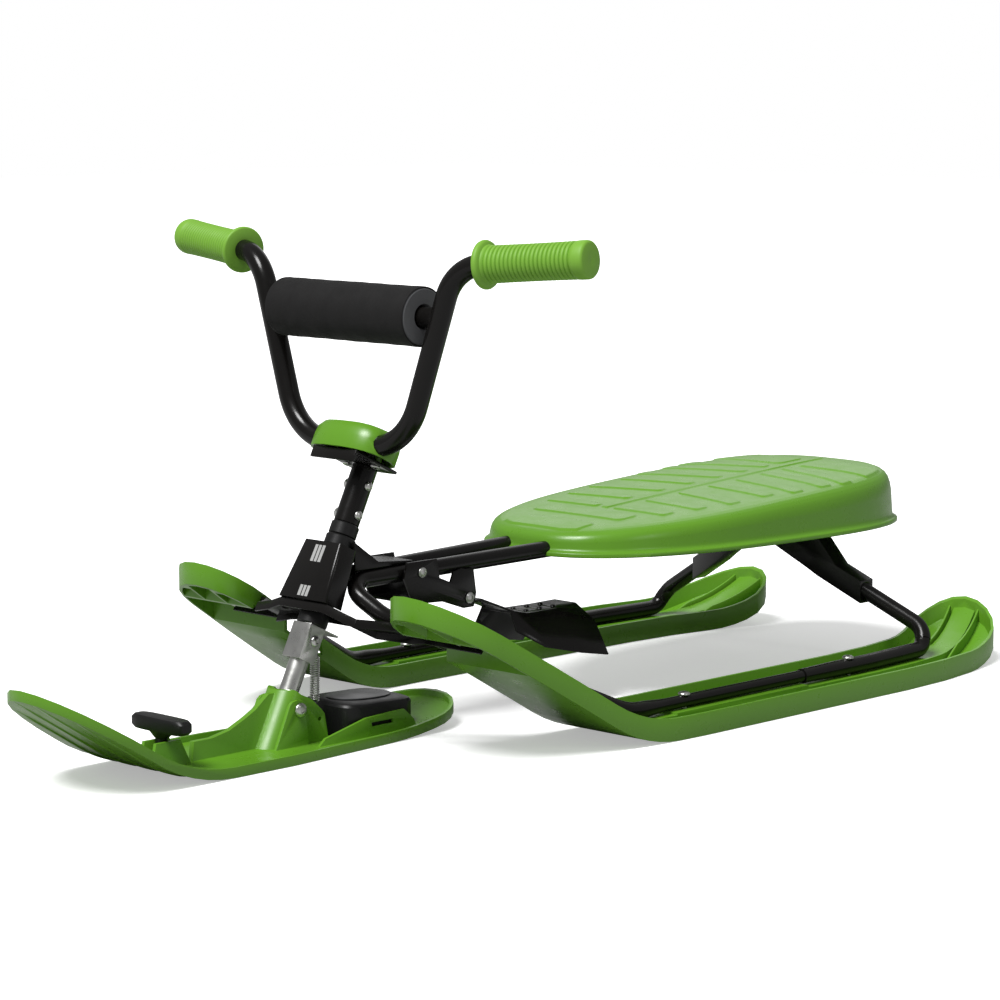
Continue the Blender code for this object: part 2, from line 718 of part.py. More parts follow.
def make_cross_member():
    sheet = CROSS_SHEET
    depth = CROSS_FLANGE
    right = [0.0, 0.030, 0.050, 0.070, 0.085, 0.093, 0.100, CROSS_END_X]
    rings = []
    for x in [-reach for reach in right[:0:-1]] + right:
        x, y, z, half, tilt = cross_station(x)
        profile = [(-half, -depth), (-half, 0), (half, 0), (half, -depth), (half - sheet, -depth),
                   (half - sheet, -sheet), (sheet - half, -sheet), (sheet - half, -depth)]
        ring = []
        for across, square in profile:
            ring.append((x, y + across * math.cos(tilt) + square * math.sin(tilt),
                         z - across * math.sin(tilt) + square * math.cos(tilt)))
        rings.append(ring)
    member = loft(rings, "front_cross_member")
    tools = [column_rod(0.12, 0.17, HEAD_RADIUS + GAP)]
    for side in (1.0, -1.0):
        frame = runner_slope_frame(side * ARM_BOLT_X, ARM_END_Y, RUNNER_BAND)
        tools.append(place(rod((0, 0, -0.03), (0, 0, 0.02), BOLT_RADIUS + GAP, 10), frame))
        x, y, z, _, _ = cross_station(side * 0.045)
        tools.append(rod((x, y, z - 0.02), (x, y, z + 0.02), 0.004, 12))
    return cut(member, *tools)


def rounded_outline(points, radius, steps=3):
    """A flat outline with each corner replaced by an arc."""
    result = []
    count = len(points)
    for i, point in enumerate(points):
        corner = Vector(point)
        back = (Vector(points[i - 1]) - corner).normalized()
        ahead = (Vector(points[(i + 1) % count]) - corner).normalized()
        turn = math.pi - back.angle(ahead)
        reach = radius * math.tan(turn / 2)
        middle = corner + (back + ahead).normalized() * (radius / math.cos(turn / 2))
        first = corner + back * reach - middle
        last = corner + ahead * reach - middle
        for k in range(steps + 1):
            share = k / steps
            a = math.sin((1 - share) * turn) / math.sin(turn)
            b = math.sin(share * turn) / math.sin(turn)
            result.append(tuple(middle + first * a + last * b))
    return result


def frustum(low, high, low_outline, high_outline, name="frustum"):
    rings = [[(x, y, low) for x, y in low_outline], [(x, y, high) for x, y in high_outline]]
    return loft(rings, name)


HOUSING_LOW = CROSS_TOP + GAP
HOUSING_HIGH = HEAD_HIGH - 0.0005


def housing_outline(half, front, rear, radius):
    return rounded_outline([(-half, rear), (half, rear), (half, front), (-half, front)], radius)


def make_steering_housing():
    sheet = 0.0024
    outer = frustum(HOUSING_LOW, HOUSING_HIGH, housing_outline(0.0330, -0.0240, 0.0020, 0.0030),
                    housing_outline(0.0255, -0.0215, 0.0020, 0.0030))
    inner = frustum(HOUSING_LOW - 0.010, HOUSING_HIGH - sheet,
                    housing_outline(0.0318, -0.0220, 0.0100, 0.0010),
                    housing_outline(0.0231, -0.0191, 0.0100, 0.0010))
    place(outer, COLUMN)
    place(inner, COLUMN)
    return cut(outer, inner, column_rod(0.13, 0.22, HEAD_RADIUS + GAP))


def make_head_gusset():
    rail_top = rail_point(-0.17).z + TUBE_RADIUS + GAP + 0.0006
    outline = [(-0.2070, rail_top), (-0.2070, 0.1910), (-0.1760, 0.1690), (-0.1300, rail_top + 0.0026),
               (-0.1300, rail_top)]
    hollow = [(-0.2200, rail_top - 0.004), (-0.2200, 0.1945), (-0.1772, 0.1661), (-0.1600, rail_top),
              (-0.1600, rail_top - 0.004)]
    gusset = prism(outline, -0.0205, 0.0205, "X")
    clear = column_rod(0.13, 0.24, HEAD_RADIUS + GAP)
    return cut(gusset, prism(hollow, -0.0180, 0.0180, "X"), clear)


def make_head_tube():
    low = CROSS_TOP - CROSS_SHEET
    return column_pipe(low, HEAD_HIGH, HEAD_RADIUS, HEAD_RADIUS - HEAD_WALL)


def make_bushing(face, flange_length, direction):
    """A flanged bush: its flange lies against one end of the head tube and its sleeve goes inside."""
    bore = COLUMN_RADIUS + GAP
    sleeve = HEAD_RADIUS - HEAD_WALL - GAP
    flange_end = face + direction * flange_length
    sleeve_end = face - direction * 0.020
    profile = [(bore, sleeve_end), (sleeve, sleeve_end), (sleeve, face), (BUSH_FLANGE_RADIUS, face),
               (BUSH_FLANGE_RADIUS, flange_end), (bore, flange_end)]
    return place(turned(profile, PIPE_SIDES), COLUMN)


# steered pieces
BUSH_HIGH_FACE = HEAD_HIGH + GAP
BUSH_LOW_FACE = CROSS_TOP - CROSS_SHEET - GAP
COLLAR_LOW = BUSH_HIGH_FACE + BUSH_HIGH_LENGTH + GAP
COLLAR_HIGH = COLLAR_LOW + COLLAR_LENGTH
STEM_LOW = COLLAR_HIGH + GAP
BAR_SEAT = (COLUMN.inverted() @ Vector((0.0, BAR_Y, BAR_Z)))
CLAMP_HIGH = BAR_SEAT.z - BAR_RADIUS - GAP
CLAMP_LOW = CLAMP_HIGH - CLAMP_SHEET
STEM_TOP = CLAMP_LOW - GAP


def cross_hole(s, radius):
    """A hole across the column whose flats clear a round of that radius."""
    return place(rod((-0.03, 0, s), (0.03, 0, s), radius / math.cos(math.pi / BOLT_SIDES)), COLUMN)


def make_column():
    column = column_pipe(COLUMN_LOW, COLUMN_HIGH, COLUMN_RADIUS, COLUMN_BORE)
    holes = [cross_hole(s, BOLT_RADIUS + GAP) for s in (*STEM_BOLTS, FORK_BOLT_S)]
    return cut(column, *holes, cross_hole(PITCH_PIN_S, PIN_RADIUS + GAP))


def make_stem():
    stem = column_pipe(STEM_LOW, STEM_TOP, STEM_RADIUS, COLUMN_RADIUS + GAP)
    return cut(stem, *[cross_hole(s, BOLT_RADIUS + GAP) for s in STEM_BOLTS])


def cross_bolt(s, reach, head=0.0048):
    """A bolt across the column with a round head on one side and a nut on the other."""
    return bolt_and_nut(COLUMN @ Vector((reach, 0, s)), COLUMN @ Vector((-reach, 0, s)), BOLT_RADIUS,
                        head, 0.0030, 0.0058, 0.0040)


def make_clamp_bracket():
    plate = box((-0.030, -0.046, CLAMP_LOW), (0.030, 0.0140, CLAMP_HIGH))
    lip = box((-0.030, -0.046, CLAMP_LOW - 0.0090), (0.030, -0.0432, CLAMP_LOW + 0.001))
    plate = place(fuse(plate, lip), COLUMN)
    return cut(plate, *[clamp_hole(x) for x in (-CLAMP_SCREW_X, CLAMP_SCREW_X)])


def clamp_hole(x):
    return place(rod((x, CLAMP_SCREW_T, 0.26), (x, CLAMP_SCREW_T, CAP_SCREW_TIP + GAP),
                     SEAT_SCREW_RADIUS + GAP, 10), COLUMN)


def oval(half_x, half_y, middle_y, z, power=2.6, sides=20):
    """A ring between an ellipse and a rectangle: the power says how square it is."""
    ring = []
    for i in range(sides):
        a = 2 * math.pi * (i + 0.5) / sides
        c, s = math.cos(a), math.sin(a)
        ring.append((half_x * math.copysign(abs(c) ** (2 / power), c),
                     middle_y + half_y * math.copysign(abs(s) ** (2 / power), s), z))
    return ring


def bar_rod(clearance):
    ex, ey, ez = BAR_END
    sx, sy, sz = BAR_SHOULDER
    corners = [(-ex, ey, ez), (-sx, sy, sz), (-BAR_CORNER_X, BAR_Y, BAR_Z), (BAR_CORNER_X, BAR_Y, BAR_Z),
               (sx, sy, sz), (ex, ey, ez)]
    path = rounded_path(corners, [SHOULDER_BEND, BAR_BEND, BAR_BEND, SHOULDER_BEND])
    return bent_rod(path, BAR_RADIUS + clearance, "handlebar", TUBE_DETAIL)


def make_clamp_cap():
    low = CLAMP_HIGH + GAP
    rows = ((1.0, low), (1.0, CAP_TOP - 0.0165), (0.97, CAP_TOP - 0.0085), (0.86, CAP_TOP - 0.0025),
            (0.60, CAP_TOP))
    rings = [oval(CAP_HALF_X * k, CAP_HALF_T * k, CAP_MIDDLE_T, z) for k, z in rows]
    wall = 0.0026
    inner = [oval(CAP_HALF_X * k - wall, CAP_HALF_T * k - wall, CAP_MIDDLE_T, z - wall) for k, z in rows]
    cap = cut(loft(rings, "clamp_cap"), loft(inner, "inner"))
    bosses = [rod((x, CLAMP_SCREW_T, low), (x, CLAMP_SCREW_T, CAP_TOP - wall / 2), 0.0046, 12)
              for x in (-CLAMP_SCREW_X, CLAMP_SCREW_X)]
    cap = place(fuse(cap, *bosses), COLUMN)
    return cut(cap, bar_rod(GAP), *[clamp_hole(x) for x in (-CLAMP_SCREW_X, CLAMP_SCREW_X)])


def make_fork_bracket():
    sheet = FORK_SHEET
    wide = FORK_HALF_WIDTH
    top = BUSH_LOW_FACE - BUSH_LOW_LENGTH - GAP
    low = 0.0900
    outer = box((-wide, -wide, low), (wide, 0.0085, top - 0.0005))
    inner = box((sheet - wide, sheet - wide, low - 0.01), (wide - sheet, 0.02, top - sheet))
    shell = cut(outer, inner)
    lip = box((-wide, -wide, top - sheet), (wide, 0.0270, top))
    shell = place(fuse(shell, lip), COLUMN)
    return cut(shell, column_rod(0.08, 0.14, COLUMN_RADIUS + GAP), cross_hole(FORK_BOLT_S, BOLT_RADIUS + GAP))


def bar_line(z):
    """A point on the straight upright of the handlebar."""
    low = Vector((BAR_CORNER_X, BAR_Y, BAR_Z))
    return low + (Vector(BAR_SHOULDER) - low) * ((z - BAR_Z) / (BAR_SHOULDER[2] - BAR_Z))


def make_crossbar():
    end = bar_line(PAD_Z)
    return cut(rod((-end.x, end.y, PAD_Z), (end.x, end.y, PAD_Z), CROSSBAR_RADIUS, 16), bar_rod(GAP))


def make_pad(outer, inner, half_length):
    y = bar_line(PAD_Z).y
    return pipe((-half_length, y, PAD_Z), (half_length, y, PAD_Z), outer, inner)


def make_grip():
    shoulder = Vector(BAR_SHOULDER)
    end = Vector(BAR_END)
    start = shoulder + (end - shoulder) * ((GRIP_FLANGE_X - shoulder.x) / (end.x - shoulder.x))
    length = (end - start).length + GAP + GRIP_END_WALL
    bore = (BAR_RADIUS + GAP) / math.cos(math.pi / GRIP_SIDES)
    proud = GRIP_RADIUS + GRIP_RIB
    edge = GRIP_FLANGE_RADIUS - 0.001
    profile = [(bore, 0.0), (edge, 0.0), (GRIP_FLANGE_RADIUS, GRIP_FLANGE_LENGTH / 2),
               (edge, GRIP_FLANGE_LENGTH), (proud, GRIP_FLANGE_LENGTH + 0.002)]
    first = GRIP_FLANGE_LENGTH + 0.008
    step = (length - first - 0.014) / GRIP_RIBS
    for i in range(GRIP_RIBS):
        profile.append((GRIP_RADIUS, first + i * step))
        profile.append((proud, first + (i + 0.5) * step))
    profile += [(GRIP_RADIUS, length - 0.013), (proud, length - 0.011), (proud, length - 0.002),
                (GRIP_RADIUS - 0.001, length), (0.0, length)]
    inner = [(0.0, length - GRIP_END_WALL), (bore, length - GRIP_END_WALL)]
    return place(turned(profile + inner, GRIP_SIDES), along(start, end))


# front ski
def ski_lift(y):
    if y < SKI_NOSE_Y:
        run = SKI_NOSE_Y - y
        arc = SKI_NOSE_RADIUS * math.sin(SKI_NOSE_ANGLE)
        if run < arc:
            return SKI_NOSE_RADIUS - math.sqrt(SKI_NOSE_RADIUS ** 2 - run ** 2)
        return SKI_NOSE_RADIUS * (1 - math.cos(SKI_NOSE_ANGLE)) + (run - arc) * math.tan(SKI_NOSE_ANGLE)
    if y > SKI_HEEL_Y:
        run = y - SKI_HEEL_Y
        return SKI_HEEL_RADIUS - math.sqrt(SKI_HEEL_RADIUS ** 2 - run ** 2)
    return 0.0


def ski_half(y, inset):
    nose = SKI_FRONT_Y + SKI_NOSE_LENGTH
    tail = SKI_REAR_Y - SKI_TAIL_LENGTH
    if y < nose:
        share = (nose - y) / (SKI_NOSE_LENGTH - inset)
        return (SKI_HALF_WIDTH - inset) * math.sqrt(max(1 - share ** 2, 0.0))
    if y > tail:
        share = (y - tail) / (SKI_TAIL_LENGTH - inset)
        return (SKI_TAIL_HALF_WIDTH - inset) * math.sqrt(max(1 - share ** 2, 0.0))
    waist = -0.330
    share = max((y - waist) / (tail - waist), 0.0)
    return SKI_HALF_WIDTH + (SKI_TAIL_HALF_WIDTH - SKI_HALF_WIDTH) * share - inset


def ski_area(inset):
    nose = SKI_FRONT_Y + SKI_NOSE_LENGTH
    tail = SKI_REAR_Y - SKI_TAIL_LENGTH
    angles = [math.radians(a) for a in (0, 14, 28, 43, 58, 74, 90)]
    front = [nose - (SKI_NOSE_LENGTH - inset) * math.sin(a) for a in angles[::-1]]
    rear = [tail + (SKI_TAIL_LENGTH - inset) * math.sin(a) for a in angles]
    rows = front + [-0.400, -0.330, -0.200] + rear
    right = [(ski_half(y, inset), y) for y in rows]
    left = [(-x, y) for x, y in right[-2:0:-1]]
    return right + left


def bend_ski(item):
    bm = bmesh.new()
    bm.from_mesh(item.data)
    slices = [SKI_NOSE_Y - i * 0.0165 for i in range(11)] + [SKI_HEEL_Y + i * 0.020 for i in range(6)]
    for y in slices:
        geometry = bm.verts[:] + bm.edges[:] + bm.faces[:]
        bmesh.ops.bisect_plane(bm, geom=geometry, dist=1e-6, plane_co=(0, y, 0), plane_no=(0, 1, 0))
    bmesh.ops.triangulate(bm, faces=bm.faces)
    for vertex in bm.verts:
        vertex.co.z += ski_lift(vertex.co.y)
    bm.to_mesh(item.data)
    bm.free()
    return item


def both_sides(outline, inner, outer):
    return [prism(outline, inner, outer, "X"), prism(outline, -outer, -inner, "X")]


def tower_outline(z, half, ahead, rear):
    """Plan of the tower at a height: straight sides and a half-round front, ahead of the column's axis."""
    centre = AXIS_FOOT_Y + z * math.tan(RAKE) - ahead + half
    turns = [math.radians(a) for a in range(0, 181, TOWER_TURN)]
    front = [(half * math.cos(a), centre - half * math.sin(a)) for a in turns]
    return [(half, rear)] + front + [(-half, rear)]


def make_ski_tower(foot):
    """The leaning socket of the column, with its rear top corner cut down behind the pivot bolt."""
    outer = frustum(foot, TOWER_TOP_Z, tower_outline(foot, CHEEK_OUTER, TOWER_AHEAD, TOWER_REAR_Y),
                    tower_outline(TOWER_TOP_Z, CHEEK_OUTER, TOWER_AHEAD, TOWER_REAR_Y), "tower")
    under = foot - 0.001
    over = TOWER_TOP_Z + 0.001
    beyond = TOWER_REAR_Y + 0.004
    inner = frustum(under, over, tower_outline(under, CHEEK_INNER, SOCKET_AHEAD, beyond),
                    tower_outline(over, CHEEK_INNER, SOCKET_AHEAD, beyond))
    slope = [(-0.2850, over), (-0.2781, 0.0527), (-0.2659, 0.0473), (-0.2537, 0.0363), (-0.2489, 0.0310),
             (-0.2453, 0.0128), (-0.2440, under), (beyond, under), (beyond, over)]
    return cut(outer, inner, prism(slope, -CHEEK_OUTER - 0.002, CHEEK_OUTER + 0.002, "X"))


def make_front_ski():
    deck = prism(ski_area(0.0), 0.0, SKI_RIM)
    deck = bend_ski(cut(deck, prism(ski_area(SKI_RIM_WALL), SKI_DECK, SKI_RIM + 0.01)))
    seat = SKI_DECK - 0.001
    fin = [(-0.3980, seat), (-0.3960, 0.0225), (-0.3741, 0.0225), (-0.3529, 0.0266), (-0.3338, 0.0348),
           (-0.3194, 0.0420), (-0.3110, 0.0485), (-0.3030, 0.0545), (-0.2943, 0.0545), (-0.3160, 0.0100),
           (-0.3190, seat)]
    boss = [(-0.3135, seat), (-0.3110, 0.0090), (-0.2950, 0.0450), (-0.2915, 0.0478), (-0.2860, 0.0490),
            (-0.2790, 0.0478), (-0.2748, 0.0430), (-0.2720, 0.0110), (-0.2715, seat)]
    fence = [(-0.2740, seat), (-0.2650, 0.0110), (-0.2118, 0.0233), (-0.1618, 0.0253), (-0.1490, 0.0140),
             (-0.1440, seat)]
    clip = [(-0.4520, 0.0060), (-0.4470, 0.0290), (-0.4180, 0.0290), (-0.4050, seat)]
    parts = [make_ski_tower(seat), prism(fin, -FIN_HALF, FIN_HALF, "X")]
    parts += both_sides(boss, CHEEK_OUTER - 0.001, CHEEK_OUTER + CHEEK_BOSS)
    parts += both_sides(fence, REEL_HALF_WIDTH + GAP, REEL_HALF_WIDTH + GAP + FENCE_WALL)
    parts += both_sides(clip, TOW_STEM_RADIUS + GAP, TOW_STEM_RADIUS + GAP + CLIP_WALL)
    ski = fuse(deck, *parts)
    middle = REEL_HALF_WIDTH + GAP + FENCE_WALL / 2
    slots = [box((side * middle - FENCE_WALL, -0.2050, 0.0140), (side * middle + FENCE_WALL, -0.1770, 0.0180))
             for side in (1, -1)]
    hook = rod((CHEEK_INNER - 0.004, *SPRING_HOLE), (CHEEK_OUTER + 0.004, *SPRING_HOLE),
               SPRING_HOLE_RADIUS, 12)
    pin = rod(PITCH_PIN - Vector((0.05, 0, 0)), PITCH_PIN + Vector((0.05, 0, 0)), PIN_RADIUS + GAP, 16)
    return cut(ski, pin, hook, *slots)


def make_pitch_pin():
    reach = Vector((CHEEK_OUTER + CHEEK_BOSS, 0, 0))
    return bolt_and_nut(PITCH_PIN + reach, PITCH_PIN - reach, PIN_RADIUS, 0.0070, 0.0034, 0.0070, 0.0045)


def spring_points():
    """Top end, coils and foot of the tension spring, from a helix about its leaning axis."""
    top = Vector((SPRING_X, *SPRING_TOP))
    foot = Vector((SPRING_X, *SPRING_FOOT))
    axis = foot - top
    down = axis.normalized()
    side = Vector((1.0, 0.0, 0.0))
    fore = down.cross(side)
    count = SPRING_TURNS * SPRING_POINTS_PER_TURN
    lip = COLUMN.inverted() @ top
    anchor = COLUMN @ Vector((SPRING_X, lip.y, BUSH_LOW_FACE - BUSH_LOW_LENGTH - 2 * GAP - 0.0023))
    points = [anchor, anchor + down * 0.004]
    points.append(top - down * 0.004)
    for i in range(count + 1):
        a = 2 * math.pi * i / SPRING_POINTS_PER_TURN
        points.append(top + axis * (i / count) + (side * math.cos(a) + fore * math.sin(a)) * SPRING_RADIUS)
    hook_z = SPRING_HOLE[1] + SPRING_HOLE_RADIUS - SPRING_WIRE - 2 * GAP
    points.append(foot + down * 0.0035)
    points.append(Vector((SPRING_X + 0.0030, SPRING_HOLE[0] + 0.0022, hook_z + 0.0030)))
    points.append(Vector((CHEEK_INNER - 0.0015, SPRING_HOLE[0], hook_z)))
    points.append(Vector(((CHEEK_INNER + CHEEK_OUTER) / 2, SPRING_HOLE[0], hook_z)))
    return points


def least_self_gap(points, radius, near):
    """Least clear distance between stretches of one tube that are not next to each other."""
    best = 1.0
    for i, point in enumerate(points):
        for other in points[i + near:]:
            best = min(best, (point - other).length - 2 * radius)
    return best


def make_ski_spring():
    points = spring_points()
    gap = least_self_gap(points, SPRING_WIRE, SPRING_POINTS_PER_TURN - 1)
    print("ski_spring least gap to itself, mm:", round(gap * 1000, 3))
    return bent_rod(points, SPRING_WIRE, "ski_spring", 1)


# tow reel and handle
REEL_MIDDLE_Y = (REEL_FRONT_Y + REEL_REAR_Y) / 2
REEL_HALF_LENGTH = (REEL_REAR_Y - REEL_FRONT_Y) / 2
REEL_AXLE_TOP = REEL_TOP_Z - REEL_WALL - 0.003


def deck_top(y):
    return SKI_DECK + ski_lift(y) + GAP


def reel_ring(inset, z):
    ring = oval(REEL_HALF_WIDTH - inset, REEL_HALF_LENGTH - inset, REEL_MIDDLE_Y, 0.0, 5.0, 24)
    return [(x, y, z - REEL_SLOPE * (y - REEL_MIDDLE_Y)) for x, y, _ in ring]


def reel_foot(inset, drop):
    """The housing's lower edge, which follows the deck of the ski."""
    ring = oval(REEL_HALF_WIDTH - inset, REEL_HALF_LENGTH - inset, REEL_MIDDLE_Y, 0.0, 5.0, 24)
    return [(x, y, deck_top(y) + GAP - drop) for x, y, _ in ring]


def make_reel_housing():
    shoulder = REEL_TOP_Z - 0.0045
    rows = ((0.0, shoulder), (0.0016, shoulder + 0.0025), (0.0070, REEL_TOP_Z))
    outside = [reel_foot(0.0, 0.0)] + [reel_ring(inset, z) for inset, z in rows]
    inside = [reel_foot(REEL_WALL, 0.01)] + [reel_ring(inset + REEL_WALL, z - REEL_WALL) for inset, z in rows]
    shell = cut(loft(outside, "reel_housing"), loft(inside, "inner"))
    drum_top = DRUM_BOTTOM_Z + DRUM_HEIGHT
    post = rod((0, REEL_MIDDLE_Y, drum_top + 4 * GAP), (0, REEL_MIDDLE_Y, REEL_TOP_Z - 0.001),
               2 * REEL_AXLE_RADIUS, 16)
    bore = rod((0, REEL_MIDDLE_Y, DRUM_BOTTOM_Z), (0, REEL_MIDDLE_Y, REEL_AXLE_TOP + GAP),
               REEL_AXLE_RADIUS + GAP, 16)
    return cut(fuse(shell, post), bore)


def make_reel_badge():
    rings = []
    for z in (REEL_TOP_Z + GAP, REEL_TOP_Z + GAP + 0.0012):
        ring = oval(0.0235, 0.0360, REEL_MIDDLE_Y, 0.0, 2.2, 28)
        rings.append([(x, y, z - REEL_SLOPE * (y - REEL_MIDDLE_Y)) for x, y, _ in ring])
    return loft(rings, "reel_badge")


def make_reel_drum():
    bore = REEL_AXLE_RADIUS + GAP
    core = 0.75 * DRUM_RADIUS
    rim = 0.0015
    low, high = DRUM_BOTTOM_Z, DRUM_BOTTOM_Z + DRUM_HEIGHT
    profile = [(bore, low), (DRUM_RADIUS, low), (DRUM_RADIUS, low + rim), (core, low + 2 * rim),
               (core, high - 2 * rim), (DRUM_RADIUS, high - rim), (DRUM_RADIUS, high), (bore, high)]
    return place(turned(profile, PIPE_SIDES), Matrix.Translation((0, REEL_MIDDLE_Y, 0)))


def make_reel_axle():
    foot = 2 * REEL_AXLE_RADIUS
    low = deck_top(REEL_MIDDLE_Y + foot)
    seat = DRUM_BOTTOM_Z - GAP
    profile = [(0, low), (foot, low), (foot, seat), (REEL_AXLE_RADIUS, seat),
               (REEL_AXLE_RADIUS, REEL_AXLE_TOP), (0, REEL_AXLE_TOP)]
    return place(turned(profile, 14), Matrix.Translation((0, REEL_MIDDLE_Y, 0)))


def make_tow_handle():
    low, high = TOW_Z - 0.0065, TOW_Z + 0.0065
    rows = ((0.90, low), (1.0, low + 0.003), (1.0, high - 0.003), (0.90, high))
    bar = loft([oval(TOW_HALF_LENGTH * k, 0.0095 * k, TOW_Y, z, 4.0, 20) for k, z in rows], "tow_handle")
    stem = rod((0, TOW_Y, 0.0135), (0, TOW_Y, low + 0.002), TOW_STEM_RADIUS, 14)
    neck = loft([oval(0.0075, 0.0060, TOW_Y, low - 0.0065, 2.0, 20),
                 oval(0.0160, 0.0085, TOW_Y, low + 0.001, 2.6, 20)], "neck")
    return fuse(bar, stem, neck)


# seat
SEAT_MIDDLE_Y = (SEAT_FRONT_Y + SEAT_REAR_Y) / 2
SEAT_HALF_LENGTH = (SEAT_REAR_Y - SEAT_FRONT_Y) / 2


def seat_lip(y):
    return SEAT_LIP_FRONT - SEAT_LIP_DROP * (y - SEAT_FRONT_Y) / (SEAT_REAR_Y - SEAT_FRONT_Y)


def seat_top(y):
    share = (y - SEAT_FRONT_Y) / (SEAT_REAR_Y - SEAT_FRONT_Y)
    return SEAT_TOP_FRONT + SEAT_TOP_RISE * share ** 0.85 if share > 0 else SEAT_TOP_FRONT


def seat_ring(scale, height, drop):
    """One ring of the seat: a share of its outline, at a share of the height, less a drop."""
    ring = []
    for i in range(SEAT_SIDES):
        a = 2 * math.pi * i / SEAT_SIDES
        c, s = math.cos(a), math.sin(a)
        power = 3.0 if c > 0 else 2.6
        t = math.copysign(abs(c) ** (2 / power), c)
        width = SEAT_HALF_WIDTH * (1 + 0.035 * t) * math.copysign(abs(s) ** (2 / power), s)
        y = SEAT_MIDDLE_Y + SEAT_HALF_LENGTH * t * (1 - (1 - scale) * SEAT_HALF_WIDTH / SEAT_HALF_LENGTH)
        x = width * scale
        lip, top = seat_lip(y), seat_top(y)
        ring.append((x, y, lip + (top - lip) * height - drop))
    return ring


def make_seat():
    wall = SEAT_WALL
    outer_rows = ((0.930, 0.0, 0.0), (1.0, 0.0, 0.0), (1.0, 0.0, -0.0045), (0.965, 0.0, -0.0065),
                  (0.953, 0.58, 0.0), (0.922, 0.85, 0.0), (0.845, 0.965, 0.0), (0.50, 1.02, 0.0))
    inner_rows = ((0.930, 0.0, 0.0), (0.922, 0.50, 0.0), (0.895, 0.78, wall), (0.82, 0.93, wall),
                  (0.50, 1.02, wall))
    rings = [seat_ring(*row) for row in inner_rows[:0:-1]] + [seat_ring(*row) for row in outer_rows]
    shell = loft(rings, "seat")
    bosses = []
    half = Vector((SEAT_BOSS_WIDTH / 2, SEAT_BOSS_LENGTH / 2, 0.0))
    rail_bore = TUBE_RADIUS + GAP + 0.0002
    screw_reach = TUBE_RADIUS + SEAT_SCREW_BITE + GAP
    tools = []
    for side in (1, -1):
        tools.append(rod(rail_point(-0.02, side), rail_point(RAIL_REAR_Y + 0.02, side), rail_bore, 20))
        for y in SEAT_BOSS_YS:
            rail = rail_point(y, side)
            top = Vector((rail.x, y, seat_top(y) - 0.002))
            bosses.append(box(rail - half, top + half))
            tools.append(rod(rail, rail + Vector((0.0, 0.0, screw_reach)), SEAT_SCREW_RADIUS + GAP, 10))
    return cut(fuse(shell, *bosses), *tools)


def make_seat_screw(y, side):
    point = rail_point(y, side)
    head = (point.x, y, point.z - TUBE_RADIUS - 2 * GAP)
    tip = (point.x, y, point.z + TUBE_RADIUS + SEAT_SCREW_BITE)
    return screw(head, tip, SEAT_SCREW_RADIUS, 0.0050, 0.0026)


def make_channel_bolt(y, radius, side):
    """A bolt down through the tube into the runner's raised bed."""
    head = (side * RUNNER_TRACK, y, TUBE_HEIGHT + radius + GAP)
    tip = (side * RUNNER_TRACK, y, RUNNER_FLOOR + 0.0008)
    return screw(head, tip, BOLT_RADIUS, 0.0062, 0.0032)


def make_arm_bolt(side):
    """A bolt down through the runner's front plate and the end of the cross member."""
    frame = runner_slope_frame(side * ARM_BOLT_X, ARM_END_Y, RUNNER_BAND)
    return place(screw((0, 0, 2 * GAP), (0, 0, -0.0130), BOLT_RADIUS, 0.0062, 0.0032), frame)


# brake
def make_brake_bracket():
    y, z = BRAKE_AXLE
    outline = [(-0.1520, 0.1500), (-0.1480, 0.1655), (-0.1080, 0.1655), (-0.1040, 0.1460),
               (-0.0890, 0.1400), (-0.0850, 0.1500), (-0.0740, 0.1520), (-0.0570, 0.1490),
               (y + 0.0095, z + 0.004), (y + 0.006, z - 0.0095), (y - 0.008, z - 0.0095),
               (-0.1000, 0.1220), (-0.1400, 0.1240)]
    parts = both_sides(outline, BRAKE_EAR_INNER, BRAKE_EAR_INNER + BRAKE_EAR_WALL)
    web = box((-BRAKE_EAR_INNER - 0.001, -0.1420, BRAKE_WEB_Z),
              (BRAKE_EAR_INNER + 0.001, -0.1020, BRAKE_WEB_Z + BRAKE_EAR_WALL))
    bracket = fuse(parts[0], parts[1], web)
    axle = rod((-0.05, y, z), (0.05, y, z), BRAKE_AXLE_RADIUS + GAP, 14)
    bolts = rod((-0.05, *BRACKET_BOLT), (0.05, *BRACKET_BOLT), SEAT_SCREW_RADIUS + GAP, 10)
    return cut(bracket, axle, bolts)


def make_bracket_bolt(side):
    head = (side * (BRAKE_EAR_INNER + BRAKE_EAR_WALL + GAP), *BRACKET_BOLT)
    tip = (side * (rail_point(BRACKET_BOLT[0]).x + 0.001), *BRACKET_BOLT)
    return screw(head, tip, SEAT_SCREW_RADIUS, 0.0052, 0.0028)


def make_brake_axle():
    reach = BRAKE_EAR_INNER + BRAKE_EAR_WALL
    return bolt_and_nut((reach, *BRAKE_AXLE), (-reach, *BRAKE_AXLE), BRAKE_AXLE_RADIUS, 0.0058, 0.0028,
                        0.0062, 0.0030)


